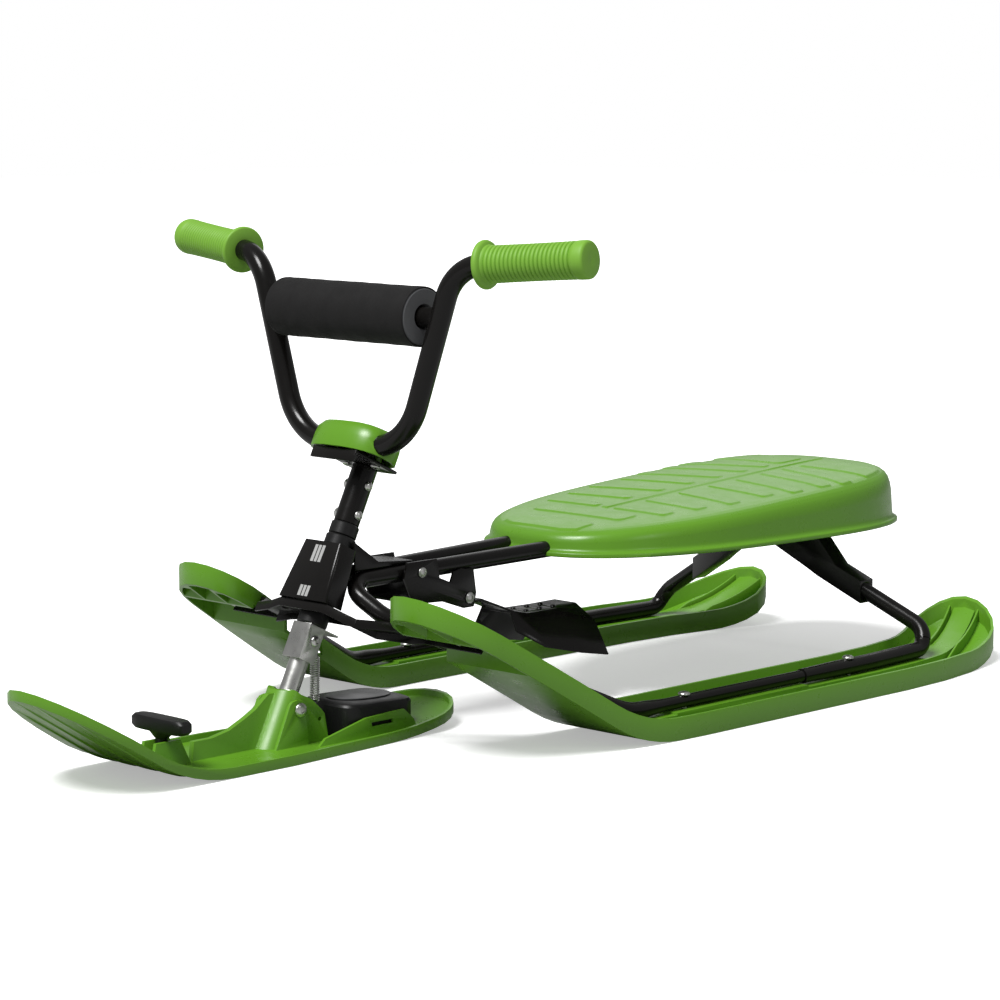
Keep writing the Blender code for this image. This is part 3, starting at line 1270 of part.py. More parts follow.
def make_brake_pedal():
    y0, z0 = BRAKE_AXLE
    sheet = BRAKE_PLATE
    neck_half = 0.0185
    bore = BRAKE_AXLE_RADIUS + GAP
    hub = pipe((-0.0270, y0, z0), (0.0270, y0, z0), 0.0066, bore, 16)
    neck_rows = ((y0, BRAKE_NECK_Z, 0.0230), (-0.0346, BRAKE_NECK_Z, 0.0200), (0.0000, 0.1030, neck_half),
                 (0.0180, 0.0955, neck_half))
    rings = [[(-w, y, z), (w, y, z), (w, y, z - sheet), (-w, y, z - sheet)] for y, z, w in neck_rows]
    neck = loft(rings, "neck")
    rows = ((0.0060, 0.0200, 0.0990, 0.0290, 0.0820, 0.0305, 0.0790),
            (0.0300, 0.0210, 0.0935, 0.0460, 0.0670, 0.0480, 0.0625),
            (0.0750, 0.0200, 0.0930, 0.0440, 0.0725, 0.0560, 0.0520),
            (0.1080, 0.0150, 0.0945, 0.0423, 0.0790, 0.0615, 0.0465))
    rings = []
    for y, rx, rz, fx, fz, sx, sz in rows:
        upper = [(-sx, sz), (-fx, fz), (-rx, rz), (rx, rz), (fx, fz), (sx, sz)]
        lower = [(sx - 0.0016, sz - 0.0010), (fx - 0.0014, fz - sheet), (rx, rz - sheet), (-rx, rz - sheet),
                 (-fx + 0.0014, fz - sheet), (-sx + 0.0016, sz - 0.0010)]
        rings.append([(x, y, z) for x, z in upper + lower])
    plate = loft(rings, "brake_pedal")
    dimples = []
    for x in (-0.009, 0.009):
        for y in (0.040, 0.060, 0.080):
            dimples.append(place(turned([(0, -0.001), (0.0034, -0.001), (0.0022, 0.0015), (0, 0.0020)], 8),
                                 Matrix.Translation((x, y, 0.0932))))
    pedal = fuse(plate, neck, hub, *dimples)
    teeth = []
    for side in (1, -1):
        for k in (0.0965, 0.0885):
            low = Vector((side * 0.0600, k, 0.0440))
            reach = Vector((side * 0.01, 0, 0.004))
            teeth.append(rod(low - reach, low + reach, 0.0026, 6))
    window = box((-0.0105, y0 - 0.02, z0 - 0.020), (0.0105, y0 + 0.0130, z0 + 0.02))
    return cut(pedal, window, rod((-0.03, y0, z0), (0.03, y0, z0), bore, 16), *teeth)


def make_brake_spring():
    """A torsion spring round the axle: one arm under the bracket's web, the other under the pedal's neck."""
    y0, z0 = BRAKE_AXLE
    wire = BRAKE_SPRING_WIRE
    radius = BRAKE_AXLE_RADIUS + 2 * GAP + wire
    half = BRAKE_SPRING_LENGTH / 2
    web_side = BRAKE_WEB_Z - GAP - wire
    neck_side = BRAKE_NECK_Z - BRAKE_PLATE - GAP - wire
    points = [Vector((-half, -0.1100, web_side)), Vector((-half, -0.0900, web_side)),
              Vector((-half, y0 - radius, z0 + 0.0015))]
    count = BRAKE_SPRING_TURNS * SPRING_POINTS_PER_TURN + SPRING_POINTS_PER_TURN // 4
    for i in range(count + 1):
        a = math.pi + 2 * math.pi * i / SPRING_POINTS_PER_TURN
        x = -half + 2 * half * i / count
        points.append(Vector((x, y0 + radius * math.cos(a), z0 + radius * math.sin(a))))
    points += [Vector((half, y0 + 0.0090, neck_side + 0.0008)), Vector((half, y0 + 0.0120, neck_side)),
               Vector((half, y0 + 0.0230, neck_side))]
    gap = least_self_gap(points, wire, SPRING_POINTS_PER_TURN - 1)
    print("brake_spring least gap to itself, mm:", round(gap * 1000, 3))
    return bent_rod(points, wire, "brake_spring", 1)


# assembly
def empty(name, location, direction=(0.0, 0.0, 1.0), parent=None):
    made = bpy.data.objects.new(name, None)
    made.empty_display_size = 0.03
    bpy.context.scene.collection.objects.link(made)
    turn = Vector(direction).to_track_quat("Z", "Y").to_matrix().to_4x4()
    made.matrix_world = Matrix.Translation(Vector(location)) @ turn
    if parent:
        keep(made, parent)
    return made


def keep(item, parent):
    """Parent an object without moving it."""
    bpy.context.view_layer.update()
    item.parent = parent
    item.matrix_parent_inverse = parent.matrix_world.inverted()


def build():
    clear_scene()
    column_up = COLUMN.to_3x3() @ Vector((0, 0, 1))
    steering = empty("steering_axis", AXIS_FOOT, column_up)
    pitch = empty("ski_pitch_axis", PITCH_PIN, (1, 0, 0), steering)
    brake = empty("brake_axis", (0.0, *BRAKE_AXLE), (1, 0, 0))
    handle = empty("tow_slide_axis", (0.0, TOW_Y, TOW_Z), (0, 0, 1), pitch)
    drum = empty("drum_axis", (0.0, REEL_MIDDLE_Y, DRUM_BOTTOM_Z), (0, 0, 1), pitch)

    def node(name, item, spec, parent=None, smooth=35):
        item.name = name
        item.data.name = name
        finish(item, spec, math.radians(smooth))
        if parent:
            keep(item, parent)
        return item

    def pair(name, item, spec, parent=None):
        """The piece on the rider's left and its mirror image on the right."""
        node(name + "_left", item, spec, parent)
        node(name + "_right", mirrored(item, name), spec, parent)

    def bolted(name, nut_name, made, parent=None):
        node(name, made[0], ZINC, parent)
        node(nut_name, made[1], ZINC, parent)

    pair("runner", make_runner(), GREEN)
    pair("frame_tube", make_frame_tube(), BLACK_PAINT)
    pair("rear_leg", make_rear_leg(), BLACK_PAINT)
    node("rear_arch", make_rear_arch(), BLACK_PAINT)
    node("front_cross_member", make_cross_member(), BLACK_PAINT)
    node("steering_housing", make_steering_housing(), BLACK_PAINT)
    node("head_gusset", make_head_gusset(), BLACK_PAINT)
    node("head_tube", make_head_tube(), BLACK_PAINT)
    node("upper_bushing", make_bushing(BUSH_HIGH_FACE, BUSH_HIGH_LENGTH, 1), BLACK_PLASTIC)
    node("lower_bushing", make_bushing(BUSH_LOW_FACE, BUSH_LOW_LENGTH, -1), BLACK_PLASTIC)
    for side, word in ((1, "left"), (-1, "right")):
        node("arm_bolt_" + word, make_arm_bolt(side), ZINC)
        node("tube_bolt_" + word, make_channel_bolt(CHANNEL_BOLT_Y, CHANNEL_TUBE_RADIUS, side), ZINC)
        node("leg_bolt_" + word, make_channel_bolt(LEG_BOLT_Y, TUBE_RADIUS, side), ZINC)
        node("bracket_bolt_" + word, make_bracket_bolt(side), ZINC)
        node("seat_screw_front_" + word, make_seat_screw(SEAT_BOSS_YS[0], side), ZINC)
        node("seat_screw_rear_" + word, make_seat_screw(SEAT_BOSS_YS[1], side), ZINC)
    node("seat", make_seat(), GREEN)
    node("brake_bracket", make_brake_bracket(), BLACK_PAINT)
    bolted("brake_axle", "brake_axle_nut", make_brake_axle())
    node("brake_spring", make_brake_spring(), ZINC)
    node("brake_pedal", make_brake_pedal(), BLACK_PAINT, brake)

    node("steering_column", make_column(), ZINC, steering)
    node("stem_tube", make_stem(), BLACK_PAINT, steering)
    collar = column_pipe(COLLAR_LOW, COLLAR_HIGH, STEM_RADIUS + 0.0013, COLUMN_RADIUS + GAP)
    node("stem_collar", collar, BLACK_PLASTIC, steering)
    for word, s in zip(("lower", "upper"), STEM_BOLTS):
        bolted("stem_bolt_" + word, "stem_nut_" + word, cross_bolt(s, STEM_RADIUS), steering)
    node("handlebar", bar_rod(0.0), BLACK_PAINT, steering)
    node("crossbar", make_crossbar(), BLACK_PAINT, steering)
    node("pad_foam", make_pad(PAD_FOAM_RADIUS, CROSSBAR_RADIUS + GAP, PAD_HALF_LENGTH), FOAM, steering)
    cover_bore = PAD_FOAM_RADIUS + GAP
    cover = make_pad(cover_bore + PAD_COVER_WALL, cover_bore, PAD_HALF_LENGTH - 0.002)
    node("pad_cover", cover, FABRIC, steering)
    pair("grip", make_grip(), GREEN, steering)
    node("clamp_bracket", make_clamp_bracket(), BLACK_PAINT, steering)
    node("clamp_cap", make_clamp_cap(), GREEN, steering)
    for word, x in (("left", CLAMP_SCREW_X), ("right", -CLAMP_SCREW_X)):
        made = screw((x, CLAMP_SCREW_T, CLAMP_LOW - GAP), (x, CLAMP_SCREW_T, CAP_SCREW_TIP),
                     SEAT_SCREW_RADIUS, 0.0048, 0.0026)
        node("clamp_screw_" + word, place(made, COLUMN), ZINC, steering)
    node("fork_bracket", make_fork_bracket(), ZINC, steering)
    bolted("fork_bolt", "fork_nut", cross_bolt(FORK_BOLT_S, FORK_HALF_WIDTH, 0.0055), steering)
    node("ski_spring", make_ski_spring(), ZINC, steering)

    node("front_ski", make_front_ski(), GREEN, pitch)
    bolted("ski_pivot_bolt", "ski_pivot_nut", make_pitch_pin(), pitch)
    node("reel_housing", make_reel_housing(), BLACK_PLASTIC, pitch)
    node("reel_badge", make_reel_badge(), BADGE, pitch)
    node("reel_axle", make_reel_axle(), ZINC, pitch)
    node("reel_drum", make_reel_drum(), BLACK_PLASTIC, drum)
    node("tow_handle", make_tow_handle(), BLACK_PLASTIC, handle)


build()
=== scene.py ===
"""Looks of the steering sled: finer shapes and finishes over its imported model, a floor, lights, a camera."""
import json
import math

import bmesh
import bpy
from mathutils import Matrix, Vector


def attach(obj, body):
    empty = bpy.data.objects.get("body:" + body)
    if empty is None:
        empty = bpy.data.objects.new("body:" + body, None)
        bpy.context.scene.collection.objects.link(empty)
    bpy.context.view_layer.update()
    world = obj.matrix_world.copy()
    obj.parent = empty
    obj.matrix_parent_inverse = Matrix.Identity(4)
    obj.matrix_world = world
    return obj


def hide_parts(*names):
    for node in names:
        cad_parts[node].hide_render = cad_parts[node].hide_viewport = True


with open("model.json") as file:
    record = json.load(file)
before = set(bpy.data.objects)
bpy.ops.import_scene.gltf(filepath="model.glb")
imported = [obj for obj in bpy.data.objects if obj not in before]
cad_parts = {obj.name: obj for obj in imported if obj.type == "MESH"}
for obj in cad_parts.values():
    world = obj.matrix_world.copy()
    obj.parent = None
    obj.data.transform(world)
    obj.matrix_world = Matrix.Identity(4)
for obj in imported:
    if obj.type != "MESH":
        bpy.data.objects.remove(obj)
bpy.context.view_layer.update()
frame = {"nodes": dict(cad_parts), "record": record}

body_of = {node: body for body, nodes in frame["record"]["behaviour"]["bodies"].items() for node in nodes}
slot_of = {part["node"]: part["material_slot"] for part in frame["record"]["subparts"]}

# sizes repeated from the model, in metres
GAP = 0.0003
RAKE = math.radians(26.3)
COLUMN = Matrix.Translation((0.0, -0.3014, 0.0)) @ Matrix.Rotation(-RAKE, 4, "X")
PITCH_PIN = COLUMN @ Vector((0.0, 0.0, 0.0435))
RUNNER_TRACK = 0.197
TUBE_HEIGHT = 0.0220
TUBE_RADIUS = 0.0085
TUBE_TIP_RADIUS = 0.0064
TUBE_BOLT_Y = 0.0700
LEG_FRONT_Y = 0.252
LEG_BOLT_Y = 0.3287
RAIL_X = 0.0242
RAIL_SPLAY = 0.0433
RAIL_Z = 0.1564
RAIL_RISE = 0.0178
RAIL_FRONT_Y = -0.2185
RAIL_REAR_Y = 0.437
BRACKET_BOLT_Y = -0.1280
BRAKE_AXLE = Vector((0.0, -0.0628, 0.1215))
BAR_END = (0.2745, -0.1571, 0.4697)
BAR_SHOULDER = (0.1355, -0.1865, 0.4590)
BAR_CORNER = (0.0757, -0.1925, 0.2835)
BAR_RADIUS = 0.0104
CROSSBAR_RADIUS = 0.0098
GRIP_START_X = 0.1666
PAD_Z = 0.4100
PAD_HALF_LENGTH = 0.0965
PAD_BORE = 0.0115
PAD_RADIUS = 0.0270
STEM_BOLT_HEIGHTS = {"lower": 0.2395, "upper": 0.2697}
FORK_BOLT_HEIGHT = 0.1110
CLAMP_SCREW_X = 0.0200
CLAMP_SCREW_Y = -0.0065
CLAMP_SCREW_TIP_HEIGHT = 0.3130
SPRING_TOP = Vector((0.0030, -0.2440, 0.0830))
SPRING_FOOT = Vector((0.0030, -0.2450, 0.0400))
SPRING_RADIUS = 0.0041
SPRING_WIRE = 0.00075
SPRING_HOLE_Y = -0.2551
SPRING_HOLE_Z = 0.0263
SPRING_HOLE_RADIUS = 0.0022
TAIL_START_Y = 0.4875
TAIL_RADIUS = 0.166
TOE_IN = 0.0255
TOE_IN_START_Y = 0.36
TOE_IN_LENGTH = 0.177
NOSE_START_Y = -0.4035
NOSE_RADIUS = 0.170
NOSE_SLOPE = math.radians(32.0)
NOSE_CURVE_Y = -0.500
NOSE_CURVE_LENGTH = 0.0925
NOSE_CURVE_HALF_WIDTH = 0.0705
HOUSING_FACE_Y = -0.2412
HOUSING_FACE_Z = 0.1725
HOUSING_FACE_SLOPE = 0.547
SEAT_MIDDLE_Y = 0.3055
SEAT_HALF_LENGTH = 0.2645
SEAT_HALF_WIDTH = 0.1385
SEAT_FRONT_Y = SEAT_MIDDLE_Y - SEAT_HALF_LENGTH
SEAT_LIP_Z = 0.1515
SEAT_LIP_FALL = 0.0065
SEAT_TOP_Z = 0.1755
SEAT_TOP_RISE = 0.0325
SEAT_SCREWS = {"front": 0.135, "rear": 0.345}
SIDES = {"left": 1, "right": -1}

# the radius of the shank, the radius and height of the head and, where there is one, those of the nut
STEM_BOLT = (0.0030, 0.0048, 0.0030, 0.0058, 0.0040)
FORK_BOLT = (0.0030, 0.0055, 0.0030, 0.0058, 0.0040)
SKI_PIVOT_BOLT = (0.0040, 0.0070, 0.0034, 0.0070, 0.0045)
BRAKE_AXLE_BOLT = (0.0035, 0.0058, 0.0028, 0.0062, 0.0030)
BRACKET_BOLT = (0.0025, 0.0052, 0.0028)
RUNNER_BOLT = (0.0030, 0.0062, 0.0032)
SEAT_SCREW = (0.0025, 0.0050, 0.0026)
CLAMP_SCREW = (0.0025, 0.0048, 0.0026)

# how the meshes are made: points around the seat, metres within which points merge, degrees of a sharp edge
SEAT_SIDES = 880
MERGE = 0.00001
SHARP = 34


# selecting and editing
def deselect():
    bpy.ops.object.select_all(action="DESELECT")


def take(piece):
    deselect()
    piece.select_set(True)
    bpy.context.view_layer.objects.active = piece
    return piece


def settle(piece, matrix=None):
    """Put a piece where it belongs and leave its place in its mesh."""
    take(piece)
    if matrix is not None:
        piece.matrix_world = matrix @ piece.matrix_world
    bpy.ops.object.transform_apply(location=True, rotation=True, scale=True)
    return piece


def smooth_by(angle):
    """Shade the selected piece smooth, save for edges sharper than this angle in degrees."""
    bpy.ops.object.shade_smooth_by_angle(angle=math.radians(angle))


def soften(piece, width):
    """Round the sharp edges of a piece and shade it smooth between them."""
    take(piece)
    step = piece.modifiers.new("soft edges", "BEVEL")
    step.width = width
    step.segments = 2
    step.limit_method = "ANGLE"
    step.angle_limit = math.radians(SHARP)
    step.use_clamp_overlap = True
    step.harden_normals = False
    bpy.ops.object.modifier_apply(modifier=step.name)
    smooth_by(SHARP)
    return piece


def point_out(piece):
    """Merge the points that lie in one place and turn every face outwards."""
    take(piece)
    bpy.ops.object.mode_set(mode="EDIT")
    bpy.ops.mesh.select_all(action="SELECT")
    bpy.ops.mesh.remove_doubles(threshold=MERGE)
    bpy.ops.mesh.normals_make_consistent(inside=False)
    bpy.ops.object.mode_set(mode="OBJECT")
    return piece


# shapes
def turned(name, profile, sides=48, smooth=SHARP, closed=False):
    """A round piece: a circle of the first radius, extruded and scaled up a profile of (radius, height)."""
    deselect()
    radius, height = profile[0]
    bpy.ops.mesh.primitive_circle_add(vertices=sides, radius=radius, location=(0.0, 0.0, height))
    piece = bpy.context.active_object
    piece.name = name
    bpy.ops.object.mode_set(mode="EDIT")
    bpy.ops.mesh.select_all(action="SELECT")
    for (before, low), (after, high) in zip(profile, profile[1:]):
        bpy.ops.mesh.extrude_region_move(TRANSFORM_OT_translate={"value": (0.0, 0.0, high - low)})
        share = after / before
        bpy.ops.transform.resize(value=(share, share, 1.0), center_override=(0.0, 0.0, high))
    bpy.ops.mesh.select_all(action="SELECT")
    bpy.ops.mesh.remove_doubles(threshold=MERGE)
    if not closed:
        bpy.ops.mesh.fill_holes(sides=0)
    bpy.ops.mesh.normals_make_consistent(inside=False)
    bpy.ops.object.mode_set(mode="OBJECT")
    settle(piece)
    smooth_by(smooth)
    return piece


def along(start, end):
    """The place of a piece whose own upright axis is to run from the start towards the end."""
    direction = Vector(end) - Vector(start)
    return Matrix.Translation(Vector(start)) @ direction.to_track_quat("Z", "Y").to_matrix().to_4x4()


def rounded_path(corners, bends, step=math.radians(4)):
    """A path through corners whose bends are arcs of one radius each."""
    points = [Vector(corners[0])]
    for before, corner, after, bend in zip(corners, corners[1:], corners[2:], bends):
        corner = Vector(corner)
        back = (Vector(before) - corner).normalized()
        ahead = (Vector(after) - corner).normalized()
        turn = math.pi - back.angle(ahead)
        reach = bend * math.tan(turn / 2)
        middle = corner + (back + ahead).normalized() * (bend / math.cos(turn / 2))
        first = corner + back * reach - middle
        last = corner + ahead * reach - middle
        count = max(2, math.ceil(turn / step))
        for i in range(count + 1):
            share = i / count
            a = math.sin((1 - share) * turn) / math.sin(turn)
            b = math.sin(share * turn) / math.sin(turn)
            points.append(middle + first * a + last * b)
    points.append(Vector(corners[-1]))
    return points


def bent_tube(name, path, radius, detail, scale=None):
    """A tube along a path: a path curve is added, given its points and a round bevel, and made a mesh."""
    deselect()
    bpy.ops.curve.primitive_nurbs_path_add(location=(0.0, 0.0, 0.0))
    piece = bpy.context.active_object
    piece.name = name
    curve = piece.data
    curve.splines.clear()
    spline = curve.splines.new("POLY")
    spline.points.add(len(path) - 1)
    for slot, point in zip(spline.points, path):
        slot.co = (*point, 1.0)
        slot.radius = scale(point) if scale else 1.0
    curve.bevel_depth = radius
    curve.bevel_resolution = detail
    curve.use_fill_caps = True
    bpy.ops.object.convert(target="MESH")
    piece = point_out(bpy.context.active_object)
    smooth_by(SHARP)
    return piece


def mirrored(piece, name):
    """A copy on the other side of the sled."""
    take(piece)
    bpy.ops.object.duplicate()
    copy = bpy.context.active_object
    copy.name = name
    copy.data = copy.data.copy()
    copy.scale.x = -1.0
    settle(copy)
    return point_out(copy)


def copied(node):
    """A clean copy of a solid of the model, ready to be worked on."""
    deselect()
    piece = bpy.data.objects.new(node + "_fine", frame["nodes"][node].data.copy())
    bpy.context.scene.collection.objects.link(piece)
    take(piece)
    bpy.ops.mesh.customdata_custom_splitnormals_clear()
    bpy.ops.object.mode_set(mode="EDIT")
    bpy.ops.mesh.select_all(action="SELECT")
    bpy.ops.mesh.remove_doubles(threshold=MERGE)
    bpy.ops.mesh.dissolve_limited(angle_limit=math.radians(0.6))
    bpy.ops.object.mode_set(mode="OBJECT")
    return piece


def cut_with(piece, tool, operation="DIFFERENCE"):
    """Take the tool's shape out of a piece, or keep what they share, and remove the tool."""
    take(piece)
    step = piece.modifiers.new("cut", "BOOLEAN")
    step.operation = operation
    step.solver = "EXACT"
    step.object = tool
    bpy.ops.object.modifier_apply(modifier=step.name)
    bpy.data.objects.remove(tool, do_unlink=True)
    return piece


def skinned(name, rings):
    """A circle set on the first ring and extruded onto each next one. All rings have as many points.

    A newly extruded point still lies on the ring before, and its place there tells which point it is.
    """
    deselect()
    bpy.ops.mesh.primitive_circle_add(vertices=len(rings[0]), radius=1.0)
    piece = bpy.context.active_object
    piece.name = name
    for vertex, point in zip(piece.data.vertices, rings[0]):
        vertex.co = point
    bpy.ops.object.mode_set(mode="EDIT")
    bpy.ops.mesh.select_all(action="SELECT")
    for before, after in zip(rings, rings[1:]):
        bpy.ops.mesh.extrude_region_move()
        shape = bmesh.from_edit_mesh(piece.data)
        order = {tuple(Vector(point)): k for k, point in enumerate(before)}
        for vertex in shape.verts:
            if vertex.select:
                vertex.co = after[order[tuple(vertex.co)]]
        bmesh.update_edit_mesh(piece.data)
    bpy.ops.object.mode_set(mode="OBJECT")
    return piece


def closed_strip(name, rings):
    """A skin over rings, with both ends filled."""
    piece = skinned(name, rings)
    take(piece)
    bpy.ops.object.mode_set(mode="EDIT")
    bpy.ops.mesh.select_all(action="SELECT")
    bpy.ops.mesh.fill_holes(sides=0)
    bpy.ops.mesh.normals_make_consistent(inside=False)
    bpy.ops.object.mode_set(mode="OBJECT")
    return piece


def eased(share):
    """A share held between 0 and 1, which starts and ends gently."""
    share = min(max(share, 0.0), 1.0)
    return share * share * (3 - 2 * share)


# node groups
def node_group(name, inputs, outputs):
    """A group with inputs of (label, kind, value) and outputs of (label, kind), and its two end nodes."""
    group = bpy.data.node_groups.new(name, "ShaderNodeTree")
    for label, kind, value in inputs:
        made = group.interface.new_socket(label, in_out="INPUT", socket_type=kind)
        made.default_value = value
    for label, kind in outputs:
        group.interface.new_socket(label, in_out="OUTPUT", socket_type=kind)
    return group, group.nodes.new("NodeGroupInput"), group.nodes.new("NodeGroupOutput")


def grain_group():
    """Fine moulding grain on top of long shallow waves in the surface."""
    group, into, out = node_group("surface_grain",
                                  [("Grain size", "NodeSocketFloat", 900.0),
                                   ("Grain", "NodeSocketFloat", 0.1), ("Waves", "NodeSocketFloat", 0.1)],
                                  [("Normal", "NodeSocketVector")])
    place = group.nodes.new("ShaderNodeTexCoord")
    fine = group.nodes.new("ShaderNodeTexNoise")
    fine.inputs["Detail"].default_value = 3.0
    long = group.nodes.new("ShaderNodeTexNoise")
    long.inputs["Scale"].default_value = 16.0
    long.inputs["Detail"].default_value = 2.0
    first = group.nodes.new("ShaderNodeBump")
    first.inputs["Distance"].default_value = 0.002
    second = group.nodes.new("ShaderNodeBump")
    second.inputs["Distance"].default_value = 0.0002
    wire = group.links.new
    wire(place.outputs["Object"], fine.inputs["Vector"])
    wire(place.outputs["Object"], long.inputs["Vector"])
    wire(into.outputs["Grain size"], fine.inputs["Scale"])
    wire(long.outputs["Fac"], first.inputs["Height"])
    wire(into.outputs["Waves"], first.inputs["Strength"])
    wire(fine.outputs["Fac"], second.inputs["Height"])
    wire(into.outputs["Grain"], second.inputs["Strength"])
    wire(first.outputs["Normal"], second.inputs["Normal"])
    wire(second.outputs["Normal"], out.inputs["Normal"])
    return group


def tone_group():
    """A colour that drifts a little over the surface, and a roughness with faint handling marks in it."""
    group, into, out = node_group("tone_and_wear",
                                  [("Colour", "NodeSocketColor", (0.5, 0.5, 0.5, 1.0)),
                                   ("Drift", "NodeSocketFloat", 0.1), ("Smooth", "NodeSocketFloat", 0.3),
                                   ("Rough", "NodeSocketFloat", 0.4)],
                                  [("Colour", "NodeSocketColor"), ("Roughness", "NodeSocketFloat")])
    nodes, wire = group.nodes, group.links.new
    place = nodes.new("ShaderNodeTexCoord")
    drift = nodes.new("ShaderNodeTexNoise")
    drift.inputs["Scale"].default_value = 7.0
    drift.inputs["Detail"].default_value = 4.0
    marks = nodes.new("ShaderNodeTexNoise")
    marks.inputs["Scale"].default_value = 55.0
    marks.inputs["Detail"].default_value = 6.0
    marks.inputs["Roughness"].default_value = 0.7
    centre = nodes.new("ShaderNodeMath")
    centre.operation = "SUBTRACT"
    centre.inputs[1].default_value = 0.5
    scaled = nodes.new("ShaderNodeMath")
    scaled.operation = "MULTIPLY"
    shift = nodes.new("ShaderNodeMath")
    shift.operation = "ADD"
    shift.inputs[1].default_value = 1.0
    shade = nodes.new("ShaderNodeHueSaturation")
    span = nodes.new("ShaderNodeMapRange")
    span.inputs["From Min"].default_value = 0.35
    span.inputs["From Max"].default_value = 0.70
    wire(place.outputs["Object"], drift.inputs["Vector"])
    wire(place.outputs["Object"], marks.inputs["Vector"])
    wire(drift.outputs["Fac"], centre.inputs[0])
    wire(centre.outputs[0], scaled.inputs[0])
    wire(into.outputs["Drift"], scaled.inputs[1])
    wire(scaled.outputs[0], shift.inputs[0])
    wire(into.outputs["Colour"], shade.inputs["Color"])
    wire(shift.outputs[0], shade.inputs["Value"])
    wire(shade.outputs["Color"], out.inputs["Colour"])
    wire(marks.outputs["Fac"], span.inputs["Value"])
    wire(into.outputs["Smooth"], span.inputs["To Min"])
    wire(into.outputs["Rough"], span.inputs["To Max"])
    wire(span.outputs["Result"], out.inputs["Roughness"])
    return group


def weave_group():
    """Two crossed rows of threads."""
    group, into, out = node_group("cloth_weave",
                                  [("Threads", "NodeSocketFloat", 260.0), ("Depth", "NodeSocketFloat", 0.4)],
                                  [("Normal", "NodeSocketVector")])
    nodes, wire = group.nodes, group.links.new
    place = nodes.new("ShaderNodeTexCoord")
    lines = []
    for direction in ("X", "DIAGONAL"):
        line = nodes.new("ShaderNodeTexWave")
        line.bands_direction = direction
        line.inputs["Distortion"].default_value = 0.4
        line.inputs["Detail"].default_value = 1.0
        wire(place.outputs["Object"], line.inputs["Vector"])
        wire(into.outputs["Threads"], line.inputs["Scale"])
        lines.append(line)
    crossed = nodes.new("ShaderNodeMath")
    crossed.operation = "MULTIPLY"
    bump = nodes.new("ShaderNodeBump")
    bump.inputs["Distance"].default_value = 0.0003
    wire(lines[0].outputs["Fac"], crossed.inputs[0])
    wire(lines[1].outputs["Fac"], crossed.inputs[1])
    wire(crossed.outputs[0], bump.inputs["Height"])
    wire(into.outputs["Depth"], bump.inputs["Strength"])
    wire(bump.outputs["Normal"], out.inputs["Normal"])
    return group


GRAIN = grain_group()
TONE = tone_group()
WEAVE = weave_group()


def finish(name, colour, smooth, rough, drift, grain=0.1, grain_size=900.0, waves=0.0, metallic=0.0,
           sheen=0.0, cloth=False, specular=0.5):
    """A material whose roughness runs from smooth to rough, with a grain and waves, or a weave for cloth."""
    made = bpy.data.materials.new(name)
    made.use_nodes = True
    nodes, wire = made.node_tree.nodes, made.node_tree.links.new
    shader = nodes["Principled BSDF"]
    tone = nodes.new("ShaderNodeGroup")
    tone.node_tree = TONE
    tone.inputs["Colour"].default_value = (*colour, 1.0)
    tone.inputs["Drift"].default_value = drift
    tone.inputs["Smooth"].default_value = smooth
    tone.inputs["Rough"].default_value = rough
    wire(tone.outputs["Colour"], shader.inputs["Base Color"])
    wire(tone.outputs["Roughness"], shader.inputs["Roughness"])
    relief = nodes.new("ShaderNodeGroup")
    relief.node_tree = WEAVE if cloth else GRAIN
    if not cloth:
        relief.inputs["Grain size"].default_value = grain_size
        relief.inputs["Grain"].default_value = grain
        relief.inputs["Waves"].default_value = waves
    wire(relief.outputs["Normal"], shader.inputs["Normal"])
    shader.inputs["Metallic"].default_value = metallic
    shader.inputs["Sheen Weight"].default_value = sheen
    shader.inputs["Specular IOR Level"].default_value = specular
    made.diffuse_color = (*colour, 1.0)
    return made


GREEN = finish("green_moulding", (0.105, 0.272, 0.016), 0.26, 0.36, drift=0.10, waves=0.05, specular=0.42)
GRIP = finish("green_grip", (0.175, 0.385, 0.038), 0.46, 0.60, drift=0.12, grain=0.25, specular=0.35)
PAINT = finish("black_powder_coat", (0.0055, 0.0050, 0.0046), 0.18, 0.28, drift=0.3, grain_size=500.0,
               waves=0.03, specular=0.26)
PLASTIC = finish("black_moulding", (0.0075, 0.0075, 0.0077), 0.34, 0.48, drift=0.2, grain=0.35,
                 grain_size=1400.0, waves=0.03, specular=0.28)
ZINC = finish("zinc_plate", (0.60, 0.60, 0.58), 0.24, 0.42, drift=0.22, grain=0.12, grain_size=300.0,
              waves=0.04, metallic=1.0)
FOAM = finish("grey_foam", (0.095, 0.097, 0.102), 0.80, 0.95, drift=0.3, grain=1.0, grain_size=700.0,
              waves=0.1)
CLOTH = finish("pad_cloth", (0.0085, 0.0082, 0.0083), 0.70, 0.88, drift=0.25, sheen=0.02, cloth=True,
               specular=0.20)
BADGE = finish("badge_face", (0.115, 0.118, 0.122), 0.34, 0.46, drift=0.15, waves=0.02)
STRIPE = finish("pale_stripe", (0.36, 0.36, 0.355), 0.40, 0.55, drift=0.08)
FINISH_OF = {"green_plastic": GREEN, "grip_rubber": GRIP, "black_paint": PAINT, "black_plastic": PLASTIC,
             "grey_badge": BADGE, "grey_foam": FOAM, "pad_fabric": CLOTH, "zinc_steel": ZINC}


def dress(piece, node, material=None, replaces=True):
    """Give a piece its finish and hang it on the body of the node that it stands for."""
    piece.data.materials.clear()
    piece.data.materials.append(material or FINISH_OF[slot_of[node]])
    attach(piece, body_of[node])
    if replaces:
        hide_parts(node)
    return piece


def dress_pair(left, node):
    """Dress the left one of a pair of pieces and its mirror image."""
    dress(mirrored(left, node + "_right_fine"), node + "_right")
    dress(left, node + "_left")


def fit_out(node, width):
    """The model's own shape with its edges rounded."""
    return dress(soften(copied(node), width), node)


